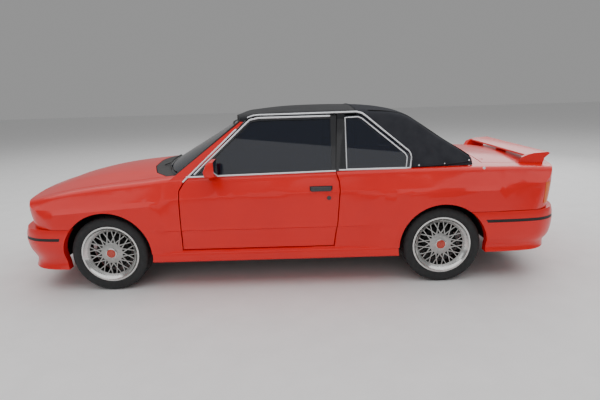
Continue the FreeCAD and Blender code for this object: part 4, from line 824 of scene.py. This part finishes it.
def treadBlocks(form):
    # Every third step of the shoulder is sunk, which leaves blocks
    cut = []
    for face in form.faces:
        middle = face.calc_center_median()
        turn = math.atan2(middle.z, middle.x) / (2 * math.pi) + 0.5
        step = math.floor(turn * tyreForm["steps"] + 0.001)
        onShoulder = math.hypot(middle.x, middle.z) > tyreForm["shoulder"]
        if onShoulder and abs(middle.y) > tyreForm["ribHalf"] and step % tyreForm["blockSteps"] == 0:
            cut.append(face)
    sunk = bmesh.ops.extrude_face_region(form, geom=cut)["geom"]
    for vert in [part for part in sunk if isinstance(part, bmesh.types.BMVert)]:
        vert.co -= Vector((vert.co.x, 0, vert.co.z)).normalized() * tyreForm["blockDeep"]
    bmesh.ops.delete(form, geom=cut, context="FACES")


def makeWheel(end, name, side):
    axleX = car["axleFrontX"] if end == "front" else car["axleRearX"]
    wheel = end + "_" + name
    body = "wheel_" + wheel
    tail = end.title() + name.title()
    profile = tyreProfile + [(-out, radius) for out, radius in reversed(tyreProfile)]
    tyre = lathe("tyre" + tail + "Skin", profile, axleX, side, body, "tyre", "rubber", tyreForm["steps"],
                 treadBlocks, angle=30)
    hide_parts("tyre_" + wheel)
    rim = skinOf("rim_" + wheel, angle=28)

    def outAndRadius(c):
        # How far a point lies outward of the wheel's middle, and its distance from the axle
        return (c.y - side * car["wheelPlane"]) * side, math.hypot(c.x - axleX, c.z - car["tyreRadius"])

    def inBarrelShade(c, n):
        out, radius = outAndRadius(c)
        return out < rimLines["barrelOut"] and radius < rimLines["barrelRadius"]

    def onLip(c, n):
        out, radius = outAndRadius(c)
        return out > rimLines["lipOut"] and radius > rimLines["lipRadius"]

    # Painted shade: the barrel faces behind the lattice get the near-black finish
    repaint(rim, "wheelDark", inBarrelShade)
    repaint(rim, "polishedAlloy", onLip)
    lathe("capRing" + tail, capForm["ring"], axleX, side, body, "alloy", "polishedAlloy", capForm["steps"])
    lathe("centreCap" + tail, capForm["dome"], axleX, side, body, "alloy", "capRed", capForm["steps"])


for end in ("front", "rear"):
    for name, side in sides.items():
        makeWheel(end, name, side)
print("wheels dressed")

# Headlamps: a bright ring round each lens and a bowl behind it
lamp = {
    "places": {"A": 0.310, "B": 0.480}, "height": 0.602, "ringSteps": 64, "bowlSteps": 48,
    "ring": [(-0.004, 0.067), (-0.006, 0.070), (-0.003, 0.0735), (0.012, 0.0735), (0.012, 0.067)],
    "bowl": [(0.040, 0.066), (0.060, 0.055), (0.078, 0.036), (0.086, 0.014), (0.087, 0.0), (0.092, 0.0),
             (0.091, 0.016), (0.082, 0.040), (0.063, 0.059), (0.040, 0.071)],
}
noseTree = touchTree(["headlamps", "nose_panel"])


def makeLamp(tail, y):
    hit = firstHit(noseTree, (rayFrom["ahead"], y, lamp["height"]), (1, 0, 0))
    for part in ("ring", "bowl"):
        form = spunForm([(x, 0, radius) for x, radius in lamp[part]], (1, 0, 0), lamp[part + "Steps"])
        bmesh.ops.translate(form, vec=(hit.x, y, lamp["height"]), verts=form.verts)
        newPiece("lamp" + part.title() + tail, form, "body", "lamp_clear", "chrome")


for name, side in sides.items():
    for label, y in lamp["places"].items():
        makeLamp(name.title() + label, side * y)
print("lamps made")

# Studio: pale floor, soft panels of light
studio = {
    "floorTones": ("F4F4F4", "F0F0F0"), "floorSize": 60.0, "worldColor": "FFFFFF", "worldStrength": 0.32,
}
softboxes = {
    "overheadSoftbox": {
        "spot": (0.0, 0.5, 6.0), "target": (0, 0.3, 0.6), "size": (16.0, 13.0), "power": 700.0},
    "sideSoftbox": {"spot": (-1.5, -6.5, 2.8), "target": (0, 0, 0.6), "size": (9.0, 3.0), "power": 60.0},
    "rearSoftbox": {"spot": (4.5, 4.5, 3.6), "target": (0, 0, 0.8), "size": (4.0, 3.0), "power": 80.0},
}


def makeFloor():
    form = bmesh.new()
    bmesh.ops.create_grid(form, x_segments=1, y_segments=1, size=studio["floorSize"] / 2)
    floor = meshItem("studioFloor", form)
    floor.data.materials.append(plainFinish("paintedFloor", *studio["floorTones"], {"Roughness": 0.8},
                                            grain=40.0, bump=0.02))


def makeLight(name, box):
    light = bpy.data.lights.new(name, "AREA")
    light.shape = "RECTANGLE"
    light.size, light.size_y = box["size"]
    light.energy = box["power"]
    item = bpy.data.objects.new(name, light)
    item.location = box["spot"]
    ahead = Vector(box["target"]) - Vector(box["spot"])
    item.rotation_euler = ahead.to_track_quat("-Z", "Y").to_euler()
    bpy.context.scene.collection.objects.link(item)


makeFloor()
for name, box in softboxes.items():
    makeLight(name, box)
world = bpy.data.worlds.new("studioWorld")
world.use_nodes = True
backdrop = world.node_tree.nodes["Background"]
backdrop.inputs["Color"].default_value = linearColor(studio["worldColor"])
backdrop.inputs["Strength"].default_value = studio["worldStrength"]
bpy.context.scene.world = world

# Camera at the photo's angle, worked out from the four wheels
view = {
    "spot": (0.1294, -4.0996, 1.4896), "yaw": -0.478, "pitch": -13.658, "roll": -1.777,
    "lens": 27.114, "sensor": 36.0,
}


def makeCamera():
    yaw, pitch, roll = (math.radians(view[k]) for k in ("yaw", "pitch", "roll"))
    ahead = Vector((math.sin(yaw) * math.cos(pitch), math.cos(yaw) * math.cos(pitch), math.sin(pitch)))
    right = Vector((math.cos(yaw), -math.sin(yaw), 0.0))
    up = right.cross(ahead)
    side = right * math.cos(roll) + up * math.sin(roll)
    top = up * math.cos(roll) - right * math.sin(roll)
    lens = bpy.data.cameras.new("camera")
    lens.lens = view["lens"]
    lens.sensor_width = view["sensor"]
    lens.sensor_fit = "HORIZONTAL"
    item = bpy.data.objects.new("camera", lens)
    turn = Matrix((side, top, -ahead)).transposed().to_4x4()
    item.matrix_world = Matrix.Translation(view["spot"]) @ turn
    bpy.context.scene.collection.objects.link(item)
    bpy.context.scene.camera = item


makeCamera()
print("studio and camera set")
